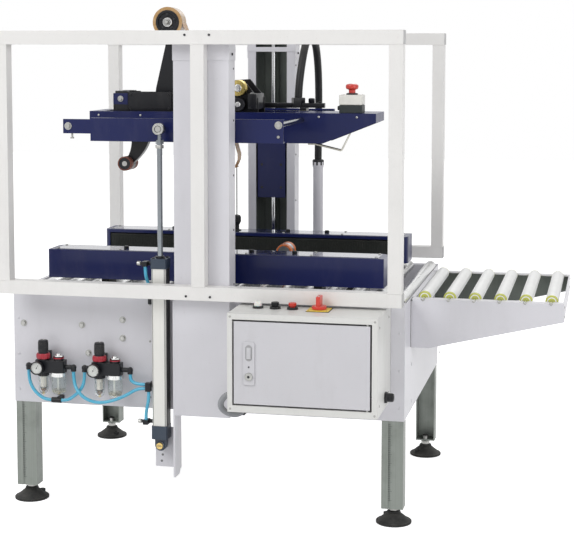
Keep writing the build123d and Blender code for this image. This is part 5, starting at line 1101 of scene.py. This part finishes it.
turned_in(grip, [(0, 0), (0.0200, 0), (0.0210, 0.0012), (0.0210, 0.0078), (0.0196, 0.0096),
                 (0.0150, 0.0100), (0, 0.0100)],
          (isolator_x, controls_y, top + 0.0040), (0, 0, 1), 56)
box_in(grip, (0.3705, controls_y - 0.0200, top + 0.0120),
       (0.3835, controls_y + 0.0200, top + 0.0418), 0.0045, 0, 4)
box_in(grip, (0.3758, controls_y - 0.0196, top + 0.0416),
       (0.3782, controls_y - 0.0060, top + 0.0422), 0.0002, 1)
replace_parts(piece("isolator_knob", grip, [stop_red, box_white], "switch"), "switch_knob")

# Air preparation: black ribbed bodies of moulded plastic on the skirt's brackets, with a red
# lock ring under each regulator knob, a white dialled gauge screwed in front, and a bright oil
# filler on each lubricator.


def dial_line(mesh, centre, degrees, reach, size):
    turn = math.radians(degrees)
    out = Vector((math.cos(turn), 0, math.sin(turn)))
    turned_cube(mesh, Vector(centre) + out * reach, out, "XY", size, 1)


dress(fitting_black, "regulator_bodies")
lock_red = plastic("lock ring red", (0.40, 0.012, 0.030), 0.36, 0.10)
dial_white = plastic("dial white", (0.78, 0.78, 0.75), 0.5, 0.1, 900.0, 0.00003,
                     (0.5, 0.48, 0.44), 0.0012)
dial_black = plastic("dial ink", (0.02, 0.02, 0.02), 0.5, 0.0, 900.0, 0.00003,
                     (0.2, 0.2, 0.2), 0.0012, Specular_IOR_Level=0.5)
clear = plastic("clear gauge glass", (0.95, 0.96, 0.96), 0.04, 0.08, 900.0, 0.00001,
                (0.6, 0.6, 0.58), 0.0012, Transmission_Weight=1.0, IOR=1.45)
air_sets, air_y, body_top, bowl_nut_z = (-0.489, -0.311), -0.465, 0.455, 0.4170
oiler_reach, gauge_z, dial_start, mark_turn, needle_turn = 0.049, 0.435, 225, 9, 62
lock_ring = [(0, 0.0040), (0.0196, 0.0040), (0.0200, 0.0055), (0.0200, 0.0180), (0.0190, 0.0196),
             (0, 0.0196)]
knob_cap = [(0, 0.0194), (0.0152, 0.0194), (0.0148, 0.0210), (0.0148, 0.0550), (0.0136, 0.0588),
            (0.0100, 0.0600), (0, 0.0600)]
oil_cap = [(0, 0.0120), (0.0140, 0.0120), (0.0140, 0.0142), (0.0086, 0.0156), (0.0086, 0.0196),
           (0.0070, 0.0212), (0, 0.0214)]
gauge_case = [(0, -0.0142), (0.0176, -0.0142), (0.0198, -0.0110), (0.0200, 0.0),
              (0.0198, 0.0010), (0.0178, 0.0012), (0.0172, -0.0020), (0.0170, -0.0036),
              (0, -0.0036)]
gauge_glass = [(0, 0.0), (0.0171, 0.0), (0.0171, 0.0010), (0.0120, 0.0016), (0, 0.0019)]
knobs, trims, bright, dials, marks, glass, caps = (bmesh.new() for _ in range(7))
for set_x in air_sets:
    at = (set_x, air_y, body_top)
    turned_in(trims, lock_ring, at, (0, 0, 1), 48)
    ribs_round(trims, [(0, 0), (0.0010, 0), (0.0010, 0.0110), (0, 0.0115)],
               (set_x, air_y, body_top + 0.0060), 0.0199, 20)
    turned_in(knobs, disc(0.0170, 0.0042), at, (0, 0, 1), 40)
    turned_in(knobs, knob_cap, at, (0, 0, 1), 44)
    ribs_round(knobs, [(0, 0), (0.0009, 0), (0.0009, 0.0270), (0, 0.0275)],
               (set_x, air_y, body_top + 0.0262), 0.0147, 26)
    box_in(marks, (set_x - 0.0014, air_y - 0.0006, body_top + 0.0597),
           (set_x + 0.0014, air_y + 0.0100, body_top + 0.0603), 0.0002)
    for x, radius, mesh in ((set_x, 0.0152, knobs), (set_x + oiler_reach, 0.0222, bright)):
        turned_in(mesh, [(radius - 0.004, 0.0020), (radius + 0.0018, 0.0020),
                         (radius + 0.0018, -0.0100), (radius + 0.0004, -0.0110),
                         (radius - 0.004, -0.0110)], (x, air_y, bowl_nut_z), (0, 0, 1), 44)
        ribs_round(mesh, [(0, 0), (0.0011, 0), (0.0011, 0.0085), (0, 0.0088)],
                   (x, air_y, 0.4075), radius + 0.0014, 16)
    x = set_x + oiler_reach
    turned_in(trims, [(0.0148, 0.0060), (0.0160, 0.0060), (0.0160, 0.0090), (0.0148, 0.0090)],
              (x, air_y, body_top), (0, 0, 1), 36, 1)
    turned_in(bright, oil_cap, (x, air_y, body_top))
    turned_in(bright, disc(0.0062, 0.003), (x + 0.0125, air_y - 0.0050, 0.4672), steps=6)
    gauge_x, gauge_y = set_x - 0.008, air_y - 0.039
    turned_in(caps, gauge_case, (gauge_x, gauge_y + 0.0008, gauge_z), (0, -1, 0), 56)
    turned_in(caps, disc(0.0078, 0.0110), (gauge_x + 0.004, gauge_y + 0.0245, gauge_z),
              (0, -1, 0), 6, 1)
    turned_in(dials, disc(0.0169, 0.0003), (gauge_x, gauge_y + 0.0044, gauge_z), (0, -1, 0), 48)
    for k in range(31):
        long = 0.0030 if k % 5 == 0 else 0.0016
        dial_line(marks, (gauge_x, gauge_y + 0.0040, gauge_z), dial_start - k * mark_turn,
                  0.0158 - long / 2, (long, 0.00035, 0.0005))
    dial_line(marks, (gauge_x, gauge_y + 0.0030, gauge_z), needle_turn, 0.0042,
              (0.0180, 0.0004, 0.0009))
    turned_in(marks, [(0, 0), (0.0018, 0), (0.0018, 0.0012), (0, 0.0014)],
              (gauge_x, gauge_y + 0.0034, gauge_z), (0, -1, 0), 20, 1)
    turned_in(glass, gauge_glass, (gauge_x, gauge_y + 0.0020, gauge_z), (0, -1, 0), 48)
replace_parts(piece("regulator_knob_caps", knobs, [fitting_black], "frame"), "regulator_knobs")
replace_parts(piece("lock_rings", trims, [lock_red, lock_red], "frame"), "regulator_knobs")
piece("oil_fillers", bright, [turned_steel], "frame")
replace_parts(piece("gauge_cases", caps, [fitting_black, zinc], "frame"), "pressure_gauges")
piece("gauge_dials", dials, [dial_white], "frame")
piece("gauge_marks", marks, [box_white, dial_black], "frame")
piece("gauge_glasses", glass, [clear], "frame")

# Bowls: clear moulded cups with a thin ribbed wall, screwed up into the bodies. The filter's
# holds a brown element and a brass drain, the lubricator's a little oil and its pick up tube.

bowl_clear = plastic("clear bowl", (0.90, 0.93, 0.93), 0.07, 0.12, 900.0, 0.00002,
                     (0.60, 0.58, 0.52), Transmission_Weight=0.94, IOR=1.2)
element_brown = plastic("filter element", (0.66, 0.60, 0.54), 0.6, 0.2, 700.0)
oil = plastic("bowl oil", (0.86, 0.80, 0.66), 0.04, 0.0, 900.0, 0.00001, (0.7, 0.66, 0.5),
              0.0012, Transmission_Weight=0.85, IOR=1.45)
brass = metal("brass drains", (0.62, 0.46, 0.18), 0.28, (200.0, 200.0, 60.0), 0.5)
drain_brown = plastic("drain seat", (0.16, 0.085, 0.055), 0.5, 0.1)
bowl_z, rib_z, seat_z, wall, floor_lift = 0.350, 0.372, 0.3560, 0.0022, 0.0024
drain = [(0, -0.0042), (0.0016, -0.0040), (0.0020, -0.0010), (0.0046, -0.0002),
         (0.0050, 0.0022), (0.0032, 0.0034), (0.0032, 0.0160), (0, 0.0165)]
cups, elements, drains, tubes = (bmesh.new() for _ in range(4))
for set_x in air_sets:
    oiler_x = set_x + oiler_reach
    for x, radius in ((set_x, 0.0150), (oiler_x, 0.0220)):
        outer = [(0, 0.0), (radius * 0.45, 0.0008), (radius * 0.78, 0.0045),
                 (radius * 0.95, 0.0115), (radius, 0.0200), (radius, 0.0675)]
        inner = [(max(r - wall, 0.0), h + (floor_lift if h < 0.05 else 0))
                 for r, h in reversed(outer)]
        turned_in(cups, outer + inner, (x, air_y, bowl_z), (0, 0, 1), 48)
        ribs_round(cups, [(0, 0), (0.0008, 0.002), (0.0010, 0.0240), (0, 0.0260)],
                   (x, air_y, rib_z), radius, 6)
    turned_in(elements, [(0, 0.0), (0.0088, 0.0), (0.0092, 0.002), (0.0092, 0.034), (0, 0.036)],
              (set_x, air_y, rib_z), (0, 0, 1), 30)
    turned_in(elements, [(0, 0.0), (0.0112, 0.0), (0.0112, 0.0016), (0, 0.0020)],
              (set_x, air_y, 0.3695), (0, 0, 1), 30, 1)
    turned_in(drains, drain, (set_x, air_y, 0.3515), (0, 0, 1), 24)
    turned_in(drains, [(0, 0.0), (0.0040, 0.0008), (0.0088, 0.0070), (0.0088, 0.0095),
                       (0, 0.0095)], (set_x, air_y, seat_z), (0, 0, 1), 30, 1)
    turned_in(drains, [(0, -0.0012), (0.0030, -0.0010), (0.0036, 0.0012), (0.0036, 0.0030),
                       (0, 0.0034)], (oiler_x, air_y, 0.3508), (0, 0, 1), 24)
    turned_in(tubes, [(0, 0), (0.0184, 0.0020), (0.0192, 0.0070), (0.0192, 0.0100), (0, 0.0100)],
              (oiler_x, air_y, seat_z), (0, 0, 1), 40, 1)
    turned_in(tubes, disc(0.0026, 0.0540), (set_x + 0.046, air_y, 0.3600), (0, 0, 1), 16)
    turned_in(tubes, [(0, 0), (0.0085, 0.001), (0.0085, 0.012), (0, 0.012)],
              (oiler_x, air_y, 0.4020), (0, 0, 1), 24)
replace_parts(piece("clear_bowls", cups, [bowl_clear], "frame"), "air_bowls")
piece("filter_elements", elements, [element_brown, fitting_black], "frame")
piece("bowl_drains", drains, [brass, drain_brown], "frame")
piece("bowl_oil", tubes, [box_white, oil], "frame")

# Clevis pin: a brass pin with a slotted head that joins the lifting cylinder's foot to its
# bracket. Its slot and two screw holes in the bracket's tab below it are dark marks of painted
# shade.

pin = bmesh.new()
pin_x, pin_front, pin_z, tab_y = -0.122, -0.4710, 0.213, -0.4310
turned_in(pin, [(0, 0), (0.0102, 0), (0.0102, 0.0052), (0.0092, 0.0064), (0.0052, 0.0064),
                (0.0048, 0.0054), (0, 0.0054)], (pin_x, pin_front, pin_z), (0, -1, 0), 36)
box_in(pin, (pin_x - 0.0082, pin_front - 0.0068, pin_z - 0.0008),
       (pin_x + 0.0082, pin_front - 0.0062, pin_z + 0.0008), 0.0, 1)
for x, z in ((-0.126, 0.175), (-0.129, 0.156)):
    turned_in(pin, disc(0.0036, 0.0004), (x, tab_y, z), (0, -1, 0), 20, 1)
piece("clevis_pin_head", pin, [brass, groove_and_slot_shade], "frame")

# Air hoses: pale blue polyurethane tube pushed into the black elbows. Each follows the route
# that the fittings set.

hose_blue = plastic("blue air hose", (0.080, 0.440, 0.640), 0.2, 0.2, 900.0, 0.00003,
                    (0.5, 0.55, 0.58), 0.0012, Subsurface_Weight=0.25, Subsurface_Scale=0.004)


def smooth_line(name, points):
    line = bpy.data.curves.new(name, "CURVE")
    line.dimensions = "3D"
    line.resolution_u = 24
    spline = line.splines.new("NURBS")
    spline.points.add(len(points) - 1)
    for point, at in zip(spline.points, points):
        point.co = (*at, 1)
    spline.order_u = 3
    spline.use_endpoint_u = True
    made = bpy.data.objects.new(name, line)
    bpy.context.scene.collection.objects.link(made)
    return made


def hose(name, points, diameter, material):
    made = smooth_line(name, points)
    made.data.bevel_depth = diameter / 2
    made.data.bevel_resolution = 6
    made.data.use_fill_caps = True
    made.data.materials.append(material)
    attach(made, "frame")
    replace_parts(made, "air_hoses")


for name, length, points in (
        ("hose_left_supply", 0.1318, [
            (-0.536, -0.465, 0.423), (-0.536, -0.465, 0.395), (-0.524, -0.467, 0.366),
            (-0.502, -0.469, 0.345), (-0.480, -0.470, 0.334), (-0.461, -0.470, 0.334)]),
        ("hose_bridge", 0.1291, [
            (-0.431, -0.470, 0.334), (-0.412, -0.470, 0.334), (-0.388, -0.469, 0.350),
            (-0.367, -0.467, 0.372), (-0.358, -0.465, 0.398), (-0.358, -0.465, 0.423)]),
        ("hose_lower", 0.2920, [
            (-0.393, -0.465, 0.423), (-0.393, -0.465, 0.400), (-0.380, -0.480, 0.372),
            (-0.350, -0.490, 0.347), (-0.308, -0.490, 0.336), (-0.264, -0.487, 0.344),
            (-0.222, -0.481, 0.362), (-0.188, -0.474, 0.384), (-0.164, -0.474, 0.384)]),
        ("hose_right", 0.0691, [
            (-0.215, -0.465, 0.423), (-0.215, -0.465, 0.407), (-0.204, -0.467, 0.398),
            (-0.186, -0.470, 0.395), (-0.164, -0.470, 0.395)]),
        ("hose_cylinder_foot", 0.0880, [
            (-0.155, -0.474, 0.376), (-0.155, -0.474, 0.354), (-0.160, -0.472, 0.330),
            (-0.165, -0.470, 0.310), (-0.165, -0.470, 0.289)]),
        ("hose_cylinder_top", 0.1063, [
            (-0.165, -0.466, 0.749), (-0.165, -0.466, 0.724), (-0.161, -0.458, 0.702),
            (-0.157, -0.448, 0.682), (-0.157, -0.440, 0.664), (-0.157, -0.440, 0.648)])):
    hose(name, points, 0.010, hose_blue)

# Conduits: a ribbed grey one screwed into glands from the cabinet's side to the skirt, and the
# head's smooth black one, which leaves the standpipe and arches over to the ring on the head.

corrugated = plastic("grey conduit", (0.30, 0.31, 0.33), 0.45, 0.3)
sheath = plastic("black cable sheath", (0.010, 0.0105, 0.012), 0.42, 0.2, 1400.0)


def path_of(points):
    line = smooth_line("path", points)
    bpy.context.view_layer.update()
    flat = line.evaluated_get(bpy.context.evaluated_depsgraph_get())
    mesh = flat.to_mesh()
    path = [vert.co.copy() for vert in mesh.vertices]
    flat.to_mesh_clear()
    bpy.data.objects.remove(line)
    return path


def tube_in(mesh, path, radius_at, sides):
    rings, run, side = [], 0.0, None
    for at, point in enumerate(path):
        ahead = path[min(at + 1, len(path) - 1)] - path[max(at - 1, 0)]
        ahead.normalize()
        if side is None:
            side = Vector((0, 0, 1)).cross(ahead) if abs(ahead.z) < 0.9 else Vector((0, 1, 0))
        side = (side - ahead * side.dot(ahead)).normalized()
        up = ahead.cross(side)
        if at:
            run += (point - path[at - 1]).length
        radius = radius_at(run)
        rings.append([mesh.verts.new(point + (side * math.cos(turn) + up * math.sin(turn)) * radius)
                      for turn in (2 * math.pi * k / sides for k in range(sides))])
    for low, high in zip(rings, rings[1:]):
        for k in range(sides):
            after = (k + 1) % sides
            mesh.faces.new((low[k], low[after], high[after], high[k]))
    mesh.faces.new(rings[0][::-1])
    mesh.faces.new(rings[-1])


def even_steps(path, step):
    lengths = [0.0]
    for first, second in zip(path, path[1:]):
        lengths.append(lengths[-1] + (second - first).length)
    count = round(lengths[-1] / step)
    steps, at = [], 0
    for k in range(count + 1):
        want = lengths[-1] * k / count
        while at < len(lengths) - 2 and lengths[at + 1] < want:
            at += 1
        share = (want - lengths[at]) / max(lengths[at + 1] - lengths[at], 1e-9)
        steps.append(path[at].lerp(path[at + 1], share))
    return steps


route = [(0.135, -0.545, 0.400), (0.110, -0.545, 0.400), (0.087, -0.540, 0.382),
         (0.078, -0.530, 0.356), (0.090, -0.514, 0.336), (0.110, -0.493, 0.324),
         (0.122, -0.464, 0.322), (0.122, -0.432, 0.322)]
path = even_steps(path_of(route), 0.0010)
groove_pitch = 0.0052
ribbed = bmesh.new()
tube_in(ribbed, path, lambda run: 0.0081 + 0.0009 * math.sin(2 * math.pi * run / groove_pitch), 24)
made = piece("cabinet_conduit", ribbed, [corrugated], "frame")
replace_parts(made, "air_hoses")
glands = bmesh.new()
conduit_gland = [(0.0090, 0), (0.0135, 0), (0.0135, 0.0080), (0.0112, 0.0100), (0.0112, 0.0150),
                 (0.0090, 0.0155)]
turned_in(glands, conduit_gland, route[0], (-1, 0, 0), 6)
turned_in(glands, conduit_gland, (0.122, -0.4325, 0.322), (0, -1, 0), 6)
piece("conduit_glands", glands, [fitting_black], "frame")
pipe_x, pipe_y = 0.175, 0.446
route = [(pipe_x, pipe_y, 1.003), (0.176, 0.4449, 1.105), (0.180, 0.432, 1.215),
         (0.185, 0.3951, 1.320), (0.188, 0.3351, 1.405), (0.188, 0.2551, 1.440),
         (0.187, 0.1719, 1.412), (0.184, 0.115, 1.335), (0.178, 0.095, 1.250),
         (0.178, 0.095, 1.208)]
path = even_steps(path_of(route), 0.0060)
feed = bmesh.new()
tube_in(feed, path, lambda run: 0.0125, 28)
made = piece("head_feed", feed, [sheath])
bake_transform(made)
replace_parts(made, "head_conduit")

# Standpipe: a steel pipe in the skirt's colour that carries the head's conduit up on the rear
# side. Two saddles with two screws each hold it, and a black threaded collar closes its top.

dress(panel_paint, "standpipe")
pipe, collar_z, saddle_half = bmesh.new(), 0.9835, 0.022
turned_in(pipe, [(0.0136, 0.0), (0.0198, 0.0), (0.0205, 0.0020), (0.0205, 0.0170),
                 (0.0190, 0.0200), (0.0136, 0.0205)], (pipe_x, pipe_y, collar_z), (0, 0, 1), 8)
for z in (0.490, 0.615):
    for dx in (-saddle_half, saddle_half):
        screw_in(pipe, (pipe_x + dx, pipe_y, z), (0, 1, 0), 0.0045, 0.0030)
piece("standpipe_collar", pipe, [fitting_black], "frame")

# Studio: a wide pale floor that reads as white paper, and a white room round it. The floor
# keeps the part's soft shadow.


def seen_directly(tree):
    rays = node(tree, "LightPath").outputs
    mirrored = math_of(tree, "ADD", rays["Is Glossy Ray"], rays["Is Transmission Ray"])
    return math_of(tree, "ADD", rays["Is Camera Ray"], mirrored, True)


floor_mesh, reach = bpy.data.meshes.new("studio_floor"), 14
floor_mesh.from_pydata([(-reach, -reach, 0), (reach, -reach, 0), (reach, reach, 0),
                        (-reach, reach, 0)], [], [(0, 1, 2, 3)])
floor = bpy.data.objects.new("studio_floor", floor_mesh)
bpy.context.scene.collection.objects.link(floor)
floor_paper = bpy.data.materials.new("floor paper")
floor_paper.use_nodes = True
tree = floor_paper.node_tree
shader = tree.nodes["Principled BSDF"]
shader.inputs["Base Color"].default_value = (0.86, 0.86, 0.86, 1)
shader.inputs["Roughness"].default_value = 0.9
seen = seen_directly(tree)
glow = node(tree, "Emission", {}, Color=(1, 1, 1, 1), Strength=0.70).outputs[0]
both = node(tree, "AddShader", {}, i0=shader.outputs[0], i1=glow).outputs[0]
mixed = node(tree, "MixShader", {}, i0=seen, i1=shader.outputs[0], i2=both).outputs[0]
tree.links.new(mixed, tree.nodes["Material Output"].inputs["Surface"])
floor_mesh.materials.append(floor_paper)

world = bpy.data.worlds.new("studio")
bpy.context.scene.world = world
world.use_nodes = True
tree = world.node_tree
background = tree.nodes["Background"].inputs
background["Color"].default_value = (1, 1, 1, 1)
tree.links.new(spread_of(tree, seen_directly(tree), 0.0, 1.0, 0.50, 1.0), background["Strength"])

# Three soft lamps: a large one above the operator's left, a weaker one on the right and one
# behind that lights the roller tops.

for name, place, aim, size, power in (("key", (-3.2, -4.6, 4.6), (0, 0, 0.8), 3.6, 172.0),
                                      ("fill", (4.6, -3.2, 2.8), (0, 0, 0.7), 3.2, 78.0),
                                      ("back", (0.8, 4.2, 4.2), (0, 0, 0.9), 3.0, 60.0)):
    lamp = bpy.data.lights.new(name, "AREA")
    lamp.shape, lamp.size, lamp.energy = "DISK", size, power
    made = bpy.data.objects.new(name, lamp)
    made.location = place
    made.rotation_euler = (Vector(aim) - Vector(place)).to_track_quat("-Z", "Y").to_euler()
    bpy.context.scene.collection.objects.link(made)

# Camera: a long lens at the operator's right, a little above the head and turned back to the
# machine, as in the photograph.

camera = bpy.data.objects.new("camera", bpy.data.cameras.new("camera"))
camera.location = (1.171, -4.6428, 1.390)
camera.rotation_euler = (math.radians(90 - 4.982), 0, math.radians(12.576))
camera.data.lens, camera.data.sensor_width = 93.71, 36.0
camera.data.shift_x, camera.data.shift_y = 0.0138, -0.16
bpy.context.scene.collection.objects.link(camera)
bpy.context.scene.camera = camera
bpy.context.scene.view_settings.view_transform = "Standard"
